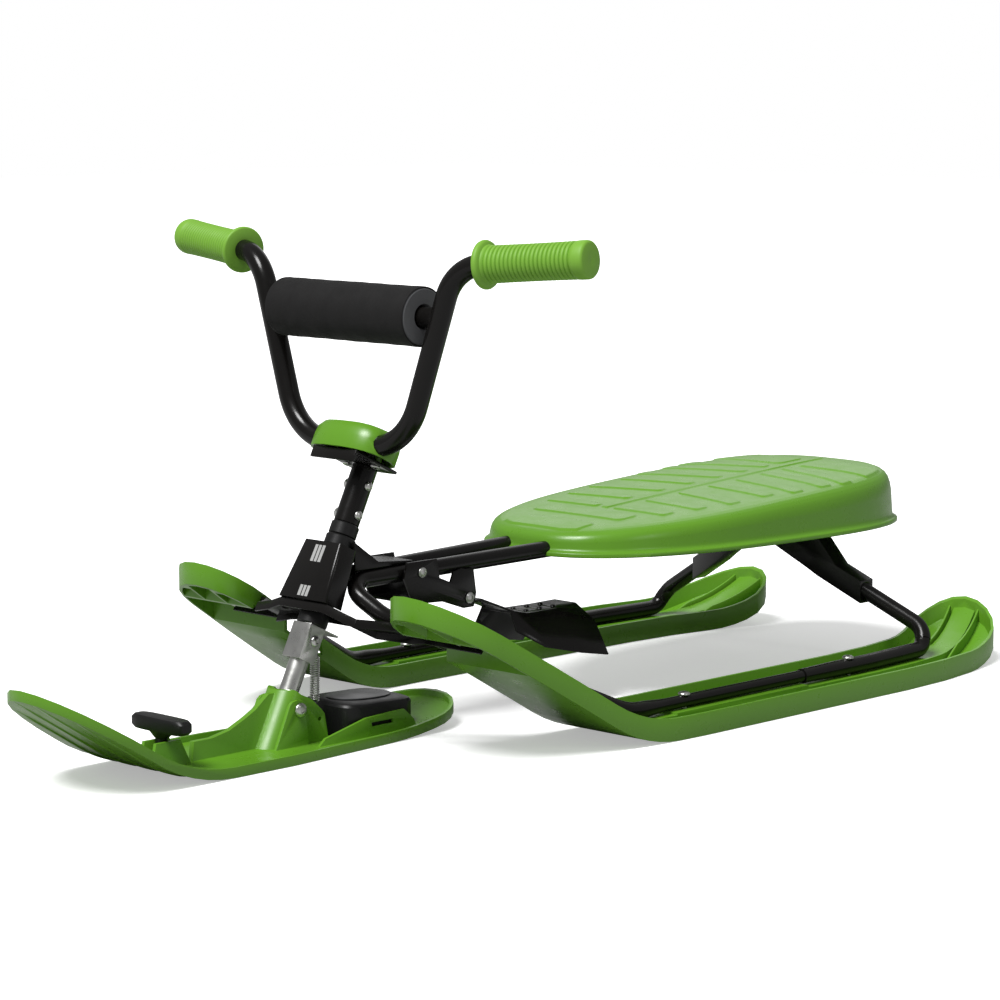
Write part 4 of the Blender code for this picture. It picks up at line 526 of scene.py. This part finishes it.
# frame tubes and rear legs
def rail_point(y, side=1.0):
    """The middle of a rail under the seat. The rails part and climb towards the rear."""
    return Vector((side * (RAIL_X + RAIL_SPLAY * y), y, RAIL_Z + RAIL_RISE * y))


def frame_tube_size(point):
    """The frame tube is drawn down towards its low end, which goes into the leg."""
    if point.z > 0.1:
        return 1.0
    return 1.0 - (1.0 - TUBE_TIP_RADIUS / TUBE_RADIUS) * eased((point.y - 0.005) / 0.040)


def leg_size(point):
    """The leg is pinched down over the end of the frame tube that goes into it."""
    if point.x < RUNNER_TRACK - 0.0001:
        return 1.0
    return 0.90 + 0.10 * eased((point.y - LEG_FRONT_Y) / 0.060)


def make_frame_tubes():
    corners = [rail_point(RAIL_REAR_Y), rail_point(RAIL_FRONT_Y),
               (0.0600, -0.2060, 0.1230), (0.1645, -0.0957, 0.0620),
               (RUNNER_TRACK, -0.0120, TUBE_HEIGHT), (RUNNER_TRACK, 0.285, TUBE_HEIGHT)]
    path = rounded_path(corners, [0.022, 0.040, 0.070, 0.060])
    path[-1:-1] = [Vector((RUNNER_TRACK, y / 1000, TUBE_HEIGHT)) for y in range(6, 48, 4)
                   if y / 1000 > path[-2].y + 0.001]
    dress_pair(bent_tube("frame_tube_left_fine", path, TUBE_RADIUS, 14, frame_tube_size), "frame_tube")

    corners = [(RUNNER_TRACK, LEG_FRONT_Y, TUBE_HEIGHT), (RUNNER_TRACK, 0.365, TUBE_HEIGHT),
               (0.1905, 0.4635, TUBE_HEIGHT), (0.1845, 0.4755, 0.0420), (0.0620, 0.4400, 0.1085)]
    path = rounded_path(corners, [0.2, 0.018, 0.024])
    path[1:1] = [Vector((RUNNER_TRACK, LEG_FRONT_Y + 0.006 * k, TUBE_HEIGHT)) for k in range(1, 11)]
    dress_pair(bent_tube("rear_leg_left_fine", path, TUBE_RADIUS, 14, leg_size), "rear_leg")


# handlebar, crossbar, pad and grips
def make_handlebar():
    left = [BAR_CORNER, BAR_SHOULDER, BAR_END]
    right = [(-x, y, z) for x, y, z in reversed(left)]
    path = rounded_path(right + left, [0.047, 0.062, 0.062, 0.047], math.radians(3))
    dress(bent_tube("handlebar_fine", path, BAR_RADIUS, 18), "handlebar")


def bar_line(z):
    """The middle of the handlebar's left upright at this height."""
    low = Vector(BAR_CORNER)
    return low + (Vector(BAR_SHOULDER) - low) * ((z - low.z) / (BAR_SHOULDER[2] - low.z))


def make_pad():
    end = bar_line(PAD_Z)
    across = along((0, end.y, PAD_Z), (1, end.y, PAD_Z))
    half = end.x - 0.002
    bar = turned("crossbar_fine", [(CROSSBAR_RADIUS, -half), (CROSSBAR_RADIUS, half)], 40)
    dress(settle(bar, across), "crossbar")

    half, edge = PAD_HALF_LENGTH, 0.001
    profile = [(PAD_BORE, -half + edge), (PAD_BORE + edge, -half), (PAD_RADIUS - edge, -half),
               (PAD_RADIUS, -half + edge), (PAD_RADIUS, half - edge), (PAD_RADIUS - edge, half),
               (PAD_BORE + edge, half), (PAD_BORE, half - edge)]
    core = turned("pad_foam_fine", profile + profile[:1], 64, closed=True)
    settle(core, across)
    dress(core, "pad_foam")

    half -= 0.0008
    steps, hem = 60, 0.0030
    lining, turn, skin, stitch = 0.0274, 0.0278, 0.0285, 0.0287
    profile = [(lining, -half), (turn, -half - 0.0004), (skin, -half + 0.0004), (stitch, -half + hem)]
    for i in range(1, steps):
        x = -half + hem + (2 * half - 2 * hem) * i / steps
        ripple = 0.00012 * math.sin(x * 230.0) + 0.00010 * math.sin(x * 71.0 + 1.0)
        profile.append((skin + ripple, x))
    profile += [(stitch, half - hem), (skin, half - 0.0004), (turn, half + 0.0004), (lining, half)]
    sleeve = turned("pad_cover_fine", profile + profile[:1], 96, closed=True)
    settle(sleeve, across)
    dress(sleeve, "pad_cover")


def make_grips():
    """Each grip has a flange at its inner end, a row of ribs and a closed outer end."""
    shoulder, end = Vector(BAR_SHOULDER), Vector(BAR_END)
    start = shoulder + (end - shoulder) * ((GRIP_START_X - shoulder.x) / (end.x - shoulder.x))
    length = (end - start).length + GAP + 0.0050
    profile = [(0.0110, 0.0), (0.0212, 0.0), (0.0224, 0.0006), (0.0230, 0.0022), (0.0230, 0.0038),
               (0.0222, 0.0055), (0.0205, 0.0064), (0.0185, 0.0072), (0.0180, 0.0090)]
    ribs = 20
    rib = ((0.04, 0.0), (0.14, 0.0010), (0.32, 0.0017), (0.68, 0.0017), (0.86, 0.0010), (0.96, 0.0))
    low, high = 0.0100, length - 0.0150
    step = (high - low) / ribs
    for i in range(ribs):
        base = low + i * step
        waist = 0.0003 * math.sin(math.pi * (i + 0.5) / ribs)
        for share, rise in rib:
            profile.append((0.0160 + rise - waist, base + share * step))
    profile += [(0.0166, length - 0.0140), (0.0178, length - 0.0130), (0.0180, length - 0.0100),
                (0.0180, length - 0.0035), (0.0176, length - 0.0018), (0.0166, length - 0.0006),
                (0.0150, length - 0.0001), (0.0030, length), (0.0012, length - 0.0004)]
    left = turned("grip_left_fine", profile, 64, smooth=50)
    settle(left, along(start, end))
    dress_pair(left, "grip")


# steering column and its bolts
def heights(node):
    """The lowest and highest place of a node along the column's axis."""
    back = COLUMN.inverted()
    places = [(back @ vertex.co).z for vertex in frame["nodes"][node].data.vertices]
    return min(places), max(places)


def turned_on_column(node, profile):
    """A turned piece with a bore, about the column's axis."""
    dress(settle(turned(node + "_fine", profile + profile[:1], 48, closed=True), COLUMN), node)


def make_column():
    pipes = (("steering_column", 0.0095, 0.0070, 0.0006), ("stem_tube", 0.0125, 0.0098, 0.0005),
             ("stem_collar", 0.0138, 0.0098, 0.0012), ("head_tube", 0.0150, 0.0132, 0.0005))
    for node, outer, bore, edge in pipes:
        low, high = heights(node)
        turned_on_column(node, [(bore, low), (outer - edge, low), (outer, low + edge), (outer, high - edge),
                                (outer - edge, high), (bore, high)])


def make_bushings():
    """Sleeves between the column and its tube, each with a flange on the end that shows."""
    bore, sleeve, rim, flange = 0.0098, 0.0129, 0.0138, 0.0148
    low, high = heights("lower_bushing")
    face = low + 0.0160
    lower = [(bore, low), (rim, low), (flange, low + 0.0012), (flange, face - 0.0010), (rim, face),
             (sleeve, face), (sleeve, high), (bore, high)]
    low, high = heights("upper_bushing")
    face = high - 0.0110
    upper = [(bore, low), (sleeve, low), (sleeve, face), (rim, face), (flange, face + 0.0010),
             (flange, high - 0.0012), (rim, high), (bore, high)]
    turned_on_column("upper_bushing", upper)
    turned_on_column("lower_bushing", lower)


def fine_screw(node, head, tip, shank, head_radius, head_height, recess="cross"):
    """A domed screw with a driver recess in its head."""
    head, tip = Vector(head), Vector(tip)
    length = (tip - head).length
    profile = [(0.0004, -head_height)]
    for k in range(1, 9):
        a = math.radians(90 * k / 8)
        profile.append((head_radius * math.sin(a), -head_height * (0.12 + 0.88 * math.cos(a))))
    profile += [(head_radius, 0.0), (shank, 0.0), (shank, length)]
    piece = turned(node + "_fine", profile, 40, smooth=40)
    reach = head_radius * 0.46
    if recess == "cross":
        for turn in (0.0, math.pi / 2):
            bpy.ops.mesh.primitive_cube_add(size=1.0)
            tool = bpy.context.active_object
            tool.scale = (2 * reach, head_radius * 0.20, head_height * 0.9)
            tool.rotation_euler.z = turn
            tool.location.z = -head_height
            settle(tool)
            cut_with(piece, tool)
    else:
        bpy.ops.mesh.primitive_cylinder_add(vertices=6, radius=reach, depth=head_height)
        tool = bpy.context.active_object
        tool.location.z = -head_height
        settle(tool)
        cut_with(piece, tool)
    take(piece)
    smooth_by(40)
    return dress(settle(piece, along(head, tip)), node)


def fine_nut(node, start, end, radius, bore):
    """A hexagon nut whose outer end is chamfered by a cone."""
    length = (Vector(end) - Vector(start)).length
    profile = [(bore, 0.0), (radius, 0.0), (radius, length), (bore, length), (bore, 0.0)]
    nut = turned(node + "_fine", profile, 6, closed=True)
    bpy.ops.mesh.primitive_cone_add(vertices=48, radius1=radius * 3.2, radius2=radius * 0.80,
                                    depth=radius * 2.4, location=(0, 0, length - radius * 1.2))
    cone = settle(bpy.context.active_object)
    cut_with(nut, cone, "INTERSECT")
    smooth_by(25)
    return dress(settle(nut, along(start, end)), node)


def bolt_pair(bolt, nut, first, second, shank, head_radius, head_height, nut_radius, nut_height,
              recess="socket"):
    """A bolt with its head at the first place and its nut past the second, GAP off both."""
    first, second = Vector(first), Vector(second)
    direction = (second - first).normalized()
    nut_start = second + direction * GAP
    nut_end = nut_start + direction * nut_height
    head, tip = first - direction * GAP, nut_end + direction * 0.0020
    fine_screw(bolt, head, tip, shank, head_radius, head_height, recess)
    fine_nut(nut, nut_start, nut_end, nut_radius, shank + GAP)


def across_column(half_width, height):
    """The two ends of a bolt that crosses the column's axis."""
    return COLUMN @ Vector((half_width, 0, height)), COLUMN @ Vector((-half_width, 0, height))


def make_bolts():
    for word, height in STEM_BOLT_HEIGHTS.items():
        bolt_pair("stem_bolt_" + word, "stem_nut_" + word, *across_column(0.0125, height), *STEM_BOLT, "cross")
    bolt_pair("fork_bolt", "fork_nut", *across_column(0.0123, FORK_BOLT_HEIGHT), *FORK_BOLT)
    half = Vector((0.0240, 0, 0))
    bolt_pair("ski_pivot_bolt", "ski_pivot_nut", PITCH_PIN + half, PITCH_PIN - half, *SKI_PIVOT_BOLT)
    half = Vector((0.0312, 0, 0))
    bolt_pair("brake_axle", "brake_axle_nut", BRAKE_AXLE + half, BRAKE_AXLE - half, *BRAKE_AXLE_BOLT)
    rail = rail_point(BRACKET_BOLT_Y)
    for word, side in SIDES.items():
        fine_screw("bracket_bolt_" + word, (side * 0.0315, BRACKET_BOLT_Y, rail.z),
                   (side * (rail.x + 0.001), BRACKET_BOLT_Y, rail.z), *BRACKET_BOLT)
        for place, y, radius in (("tube", TUBE_BOLT_Y, TUBE_TIP_RADIUS), ("leg", LEG_BOLT_Y, TUBE_RADIUS)):
            fine_screw(place + "_bolt_" + word, (side * RUNNER_TRACK, y, TUBE_HEIGHT + radius + GAP),
                       (side * RUNNER_TRACK, y, 0.0048), *RUNNER_BOLT)
        for place, y in SEAT_SCREWS.items():
            point = rail_point(y, side)
            fine_screw("seat_screw_" + place + "_" + word, (point.x, y, point.z - 0.0091),
                       (point.x, y, point.z + 0.0195), *SEAT_SCREW)
        x = side * CLAMP_SCREW_X
        under_head = heights("clamp_screw_" + word)[0] + CLAMP_SCREW[2]
        fine_screw("clamp_screw_" + word, COLUMN @ Vector((x, CLAMP_SCREW_Y, under_head)),
                   COLUMN @ Vector((x, CLAMP_SCREW_Y, CLAMP_SCREW_TIP_HEIGHT)), *CLAMP_SCREW)


# the ski's return spring
def make_ski_spring():
    """A straight end up to the fork bracket, the coil, and a hook into the hole in the ski's tower."""
    high = max(vertex.co.z for vertex in frame["nodes"]["ski_spring"].data.vertices)
    top, foot = SPRING_TOP, SPRING_FOOT
    axis = foot - top
    down = axis.normalized()
    side = Vector((1.0, 0.0, 0.0))
    fore = down.cross(side)
    anchor = COLUMN @ Vector((top.x, (COLUMN.inverted() @ top).y, 0.0))
    anchor += (COLUMN.to_3x3() @ Vector((0, 0, 1))) * ((high - 0.0008 - anchor.z) / math.cos(RAKE))
    points = [anchor, anchor + down * 0.004, top - down * 0.004]
    turns, per_turn = 20, 24
    for i in range(turns * per_turn + 1):
        a = 2 * math.pi * i / per_turn
        middle = top + axis * (i / (turns * per_turn))
        points.append(middle + (side * math.cos(a) + fore * math.sin(a)) * SPRING_RADIUS)
    hook_z = SPRING_HOLE_Z + SPRING_HOLE_RADIUS - SPRING_WIRE - 2 * GAP
    points += [foot + down * 0.0035, Vector((0.0060, -0.2529, hook_z + 0.0030)),
               Vector((0.0093, SPRING_HOLE_Y, hook_z)), Vector((0.0161, SPRING_HOLE_Y, hook_z))]
    dress(bent_tube("ski_spring_fine", points, SPRING_WIRE, 4), "ski_spring")


# ribs in the runners' tails
def tail_lift(y):
    """How far a runner's sole has risen at this place."""
    return TAIL_RADIUS - math.sqrt(TAIL_RADIUS ** 2 - max(y - TAIL_START_Y, 0.0) ** 2)


def tail_middle(y):
    """The middle of the left runner, which turns inwards towards its tail."""
    return RUNNER_TRACK - TOE_IN * ((y - TOE_IN_START_Y) / TOE_IN_LENGTH) ** 2


def make_tail_ribs():
    """Two lengthwise ribs in the hollow of each tail, which grow out of the floor and end at the rim."""
    front, rear, steps = 0.4930, 0.5852, 24
    for word, offset in (("inner", -0.0175), ("outer", 0.0175)):
        rings = []
        for k in range(steps + 1):
            y = front + (rear - front) * k / steps
            x = tail_middle(y) + offset * (1.0 + 0.10 * (y - front) / (rear - front))
            low = tail_lift(y) + 0.0035
            high = low + 0.0010 + 0.0125 * min((y - front) / 0.030, 1.0) ** 0.8
            rings.append([(x - 0.0016, y, low), (x + 0.0016, y, low),
                          (x + 0.0012, y, high), (x - 0.0012, y, high)])
        left = soften(closed_strip("tail_rib_" + word + "_left", rings), 0.0004)
        dress(mirrored(left, "tail_rib_" + word + "_right"), "runner_right", replaces=False)
        dress(left, "runner_left", replaces=False)


# ribs under the ski's nose and stripes on the housing
def nose_lift(y):
    """How far the ski's sole has risen at this place: an arc, and a straight slope past it."""
    run = NOSE_START_Y - y
    arc = NOSE_RADIUS * math.sin(NOSE_SLOPE)
    if run < arc:
        return NOSE_RADIUS - math.sqrt(NOSE_RADIUS ** 2 - run ** 2)
    return NOSE_RADIUS * (1 - math.cos(NOSE_SLOPE)) + (run - arc) * math.tan(NOSE_SLOPE)


def make_nose_ribs():
    """Shallow lengthwise ribs under the rising nose of the ski, which stop short of its round front edge."""
    rear, steps, ends = -0.432, 28, 4
    for number, x in enumerate((-0.045, -0.015, 0.015, 0.045)):
        share = (abs(x) + 0.006) / NOSE_CURVE_HALF_WIDTH
        front = NOSE_CURVE_Y - NOSE_CURVE_LENGTH * math.sqrt(1 - share ** 2)
        rings = []
        for k in range(steps + 1):
            y = front + (rear - front) * k / steps
            low = nose_lift(y)
            deep = 0.0014 * min(k, steps - k, ends) / ends
            rings.append([(x - 0.0040, y, low + 0.0006), (x + 0.0040, y, low + 0.0006),
                          (x + 0.0026, y, low - deep), (x - 0.0026, y, low - deep)])
        rib = soften(closed_strip("nose_rib_" + str(number + 1), rings), 0.0004)
        dress(rib, "front_ski", replaces=False)


def make_stripes():
    """Three pale bars down the front of the housing, in an upper and a lower length."""
    bars = (("left", 0.0031, 0.0070), ("middle", -0.0018, 0.0018), ("right", -0.0070, -0.0031))
    for place, high, low in (("upper", 0.1890, 0.1740), ("lower", 0.1525, 0.1430)):
        for word, left, right in bars:
            rings = []
            for z in (high, low):
                face = HOUSING_FACE_Y + (z - HOUSING_FACE_Z) * HOUSING_FACE_SLOPE
                inner, outer = face + 0.0003, face - 0.0002
                rings.append([(left, inner, z), (right, inner, z),
                              (right, outer, z + 0.0001), (left, outer, z + 0.0001)])
            bar = closed_strip("stripe_" + place + "_" + word, rings)
            dress(bar, "steering_housing", STRIPE, replaces=False)


# seat
def seat_lip(y):
    """The height of the seat's lower edge."""
    return SEAT_LIP_Z - SEAT_LIP_FALL * (y - SEAT_FRONT_Y) / (2 * SEAT_HALF_LENGTH)


def seat_top(y):
    """The height of the seat's top, without its panels."""
    return SEAT_TOP_Z + SEAT_TOP_RISE * max((y - SEAT_FRONT_Y) / (2 * SEAT_HALF_LENGTH), 0.0) ** 0.85


def patch(x, y, half_x, half_y, corner):
    """How far a place lies inside a rectangle with rounded corners about the origin."""
    over_x, over_y = abs(x) - half_x + corner, abs(y) - half_y + corner
    return corner - math.hypot(max(over_x, 0.0), max(over_y, 0.0)) - min(max(over_x, over_y), 0.0)


# the seat's raised panels as (x, y, half width, half length, corner): two across the front, the middle
# ridge and a rear pair, and then the pairs of fins as (inner y, outer y, outer x)
PANELS = ((0.0, 0.0815, 0.052, 0.0195, 0.009), (0.0, 0.1375, 0.063, 0.0165, 0.009),
          (0.0, 0.345, 0.0055, 0.180, 0.004), (0.0635, 0.4885, 0.0525, 0.0235, 0.010))
FINS = ((0.1725, 0.176, 0.0840), (0.222, 0.217, 0.0935), (0.274, 0.259, 0.1025), (0.322, 0.3115, 0.1040),
        (0.3675, 0.3485, 0.1135), (0.410, 0.3925, 0.1155), (0.446, 0.424, 0.1200))
FIN_INNER_X = 0.011
FIN_HALF_LENGTH = 0.0078
FIN_FLARE = 0.0034
FIN_CORNER = 0.0065
PANEL_LIMIT = 0.875
PANEL_HEIGHT = 0.0014
PANEL_EDGE = 0.0024


def panel_rise(x, y, scale):
    """How far a place on the seat is raised. No panel comes nearer the seat's outline than its limit."""
    across = abs(x)
    inside = [patch(across - panel_x, y - panel_y, half_x, half_y, corner)
              for panel_x, panel_y, half_x, half_y, corner in PANELS]
    for inner_y, outer_y, outer_x in FINS:
        share = min(max((across - FIN_INNER_X) / (outer_x - FIN_INNER_X), 0.0), 1.0)
        middle = inner_y + (outer_y - inner_y) * share
        inside.append(patch(across - (FIN_INNER_X + outer_x) / 2, y - middle, (outer_x - FIN_INNER_X) / 2,
                            FIN_HALF_LENGTH + FIN_FLARE * share, FIN_CORNER))
    limit = (PANEL_LIMIT - scale) * SEAT_HALF_WIDTH
    return PANEL_HEIGHT * eased(min(max(inside), limit) / PANEL_EDGE)


def seat_outline(turn, scale):
    """A point of the seat's outline, drawn in evenly from its edge by the scale."""
    c, s = math.cos(turn), math.sin(turn)
    power = 3.0 if c > 0 else 2.6
    t = math.copysign(abs(c) ** (2 / power), c)
    x = scale * SEAT_HALF_WIDTH * (1 + 0.035 * t) * math.copysign(abs(s) ** (2 / power), s)
    return x, SEAT_MIDDLE_Y + SEAT_HALF_LENGTH * t * (1 - (1 - scale) * SEAT_HALF_WIDTH / SEAT_HALF_LENGTH)


def even_turns(count):
    """Angles that divide the seat's outline into equal steps."""
    fine_steps = 60000
    turns = [2 * math.pi * (k + 0.5) / fine_steps for k in range(fine_steps + 1)]
    places = [seat_outline(turn, 1.0) for turn in turns]
    lengths = [0.0]
    for before, after in zip(places, places[1:]):
        lengths.append(lengths[-1] + math.dist(before, after))
    found, k = [], 0
    for i in range(count):
        while lengths[k] < lengths[-1] * i / count:
            k += 1
        found.append(turns[k])
    return found


SEAT_TURNS = even_turns(SEAT_SIDES)


def seat_ring(scale, height, drop, raised):
    """One ring of the seat, at a share of the height between its lower edge and its top, less a drop."""
    ring = []
    for turn in SEAT_TURNS:
        x, y = seat_outline(turn, scale)
        z = seat_lip(y) + (seat_top(y) - seat_lip(y)) * height - drop
        ring.append((x, y, z + (panel_rise(x, y, scale) if raised else 0.0)))
    return ring


def seat_rows(knots, spacing):
    """Rows between the given ones, no farther apart than the spacing on a seat of about this size."""
    reach, height = 0.22, 0.04
    rows = [knots[0]]
    for before, after in zip(knots, knots[1:]):
        run = math.hypot((before[0] - after[0]) * reach, (before[1] - after[1]) * height)
        count = max(1, math.ceil(run / spacing))
        for k in range(1, count + 1):
            rows.append([a + (b - a) * k / count for a, b in zip(before, after)])
    return rows


def make_seat():
    """The seat's hollow underside, rim and top as one skin, and the bosses that hold it on the rails."""
    under = seat_rows([(0.010, 1.02, 0.0032), (0.50, 1.01, 0.0032), (0.82, 0.93, 0.0032),
                       (0.895, 0.78, 0.0032), (0.922, 0.50, 0.0), (0.930, 0.02, 0.0)], 0.012)
    over = seat_rows([(0.930, 0.0, 0.0), (0.994, 0.0, 0.0), (1.0, 0.0, -0.0007), (1.0, 0.0, -0.0038),
                      (0.996, 0.0, -0.0046), (0.974, 0.0, -0.0060), (0.9665, 0.03, -0.0068),
                      (0.9635, 0.10, -0.0060), (0.953, 0.58, 0.0), (0.944, 0.70, 0.0), (0.930, 0.80, 0.0),
                      (0.910, 0.872, 0.0), (0.882, 0.925, 0.0), (0.845, 0.960, 0.0), (0.78, 0.985, 0.0),
                      (0.66, 1.006, 0.0), (0.50, 1.018, 0.0), (0.25, 1.023, 0.0), (0.006, 1.025, 0.0)],
                     0.0026)
    rings = [seat_ring(*row, False) for row in under] + [seat_ring(*row, row[0] < 0.95) for row in over]
    seat = closed_strip("seat_fine", rings)
    smooth_by(50)
    dress(seat, "seat")
    for word, side in SIDES.items():
        for place, y in SEAT_SCREWS.items():
            rail = rail_point(y, side)
            top = seat_top(y) - 0.004
            bpy.ops.mesh.primitive_cube_add(size=1.0, location=(rail.x, y, (rail.z + top) / 2))
            boss = bpy.context.active_object
            boss.name = "seat_boss_" + place + "_" + word
            boss.scale = (0.026, 0.030, top - rail.z)
            settle(boss)
            bpy.ops.mesh.primitive_cylinder_add(vertices=40, radius=0.0090, depth=0.06)
            bore = settle(bpy.context.active_object, along(rail, rail_point(y + 0.1, side)))
            dress(soften(cut_with(boss, bore), 0.0008), "seat", replaces=False)


make_frame_tubes()
make_handlebar()
make_pad()
make_grips()
make_column()
make_bushings()
make_bolts()
make_ski_spring()
make_seat()
make_tail_ribs()
make_nose_ribs()
make_stripes()

# nodes that keep the model's own shape, with the width of their rounded edges
EDGE_WIDTHS = {"rear_arch": 0.0014, "front_cross_member": 0.0008, "steering_housing": 0.0007,
               "head_gusset": 0.0007, "brake_bracket": 0.0005, "brake_pedal": 0.0005,
               "clamp_bracket": 0.0006, "clamp_cap": 0.0010, "fork_bracket": 0.0005,
               "reel_housing": 0.0008, "reel_badge": 0.0004, "tow_handle": 0.0008,
               "reel_drum": 0.0004, "reel_axle": 0.0003, "brake_spring": 0.0001,
               "front_ski": 0.0007, "runner_left": 0.0008, "runner_right": 0.0008}
for node, width in EDGE_WIDTHS.items():
    fit_out(node, width)


# floor, lights and camera
CAMERA_PLACE = (2.2861, -2.3216, 0.6514)
CAMERA_AIM = (-0.6935, 0.7079, -0.1343)
CAMERA_LENS = 117.83


def split_by_ray(tree, bounced, seen, output):
    """Show one shader to the camera and light the sled with the other."""
    ray = tree.nodes.new("ShaderNodeLightPath")
    mix = tree.nodes.new("ShaderNodeMixShader")
    tree.links.new(ray.outputs["Is Camera Ray"], mix.inputs[0])
    tree.links.new(bounced.outputs[0], mix.inputs[1])
    tree.links.new(seen.outputs[0], mix.inputs[2])
    tree.links.new(mix.outputs[0], tree.nodes[output].inputs["Surface"])


def make_floor():
    """A floor that looks white, and throws less light back onto the sled than it shows."""
    deselect()
    bpy.ops.mesh.primitive_plane_add(size=24.0, location=(0.0, 0.0, -0.0004))
    floor = bpy.context.active_object
    floor.name = "studio_floor"
    paint = bpy.data.materials.new("studio_floor")
    paint.use_nodes = True
    shader = paint.node_tree.nodes["Principled BSDF"]
    shader.inputs["Base Color"].default_value = (0.95, 0.95, 0.95, 1.0)
    shader.inputs["Roughness"].default_value = 0.9
    shader.inputs["Specular IOR Level"].default_value = 0.0
    shader.inputs["Emission Color"].default_value = (1.0, 1.0, 1.0, 1.0)
    shader.inputs["Emission Strength"].default_value = 0.40
    bounced = paint.node_tree.nodes.new("ShaderNodeBsdfDiffuse")
    bounced.inputs["Color"].default_value = (0.42, 0.42, 0.42, 1.0)
    split_by_ray(paint.node_tree, bounced, shader, "Material Output")
    floor.data.materials.append(paint)


def make_world():
    """A sky that looks white and lights the sled dimly from all sides."""
    world = bpy.data.worlds.new("studio")
    bpy.context.scene.world = world
    world.use_nodes = True
    sky = world.node_tree.nodes["Background"]
    sky.inputs["Color"].default_value = (1.0, 1.0, 1.0, 1.0)
    sky.inputs["Strength"].default_value = 0.28
    seen = world.node_tree.nodes.new("ShaderNodeBackground")
    seen.inputs["Color"].default_value = (1.0, 1.0, 1.0, 1.0)
    split_by_ray(world.node_tree, sky, seen, "World Output")


def facing(direction):
    """The turn of a lamp or camera that looks in this direction."""
    return Vector(direction).to_track_quat("-Z", "Y").to_euler()


def make_lights():
    deselect()
    bpy.ops.object.light_add(type="SUN", location=(0.8, -1.0, 3.0))
    sun = bpy.context.active_object
    sun.name = "soft_sun"
    sun.data.energy = 4.0
    sun.data.angle = math.radians(24)
    sun.rotation_euler = facing((-0.04, 0.62, -1.0))

    middle = Vector((0.0, 0.0, 0.2))
    for name, place, size, power in (("side_light", (2.4, 0.2, 1.3), 0.4, 3.5),
                                     ("back_light", (-1.3, 1.9, 1.3), 1.5, 5.0)):
        deselect()
        bpy.ops.object.light_add(type="AREA", location=place)
        light = bpy.context.active_object
        light.name = name
        light.data.energy = power
        light.data.size = size
        light.rotation_euler = facing(middle - Vector(place))


def make_camera():
    """The camera fitted to the photograph."""
    deselect()
    bpy.ops.object.camera_add(location=CAMERA_PLACE)
    camera = bpy.context.active_object
    camera.name = "photo_camera"
    camera.rotation_euler = facing(CAMERA_AIM)
    camera.data.sensor_fit = "HORIZONTAL"
    camera.data.sensor_width = 36.0
    camera.data.lens = CAMERA_LENS
    camera.data.clip_end = 60.0
    bpy.context.scene.camera = camera


make_floor()
make_world()
make_lights()
make_camera()
bpy.context.scene.view_settings.view_transform = "Standard"
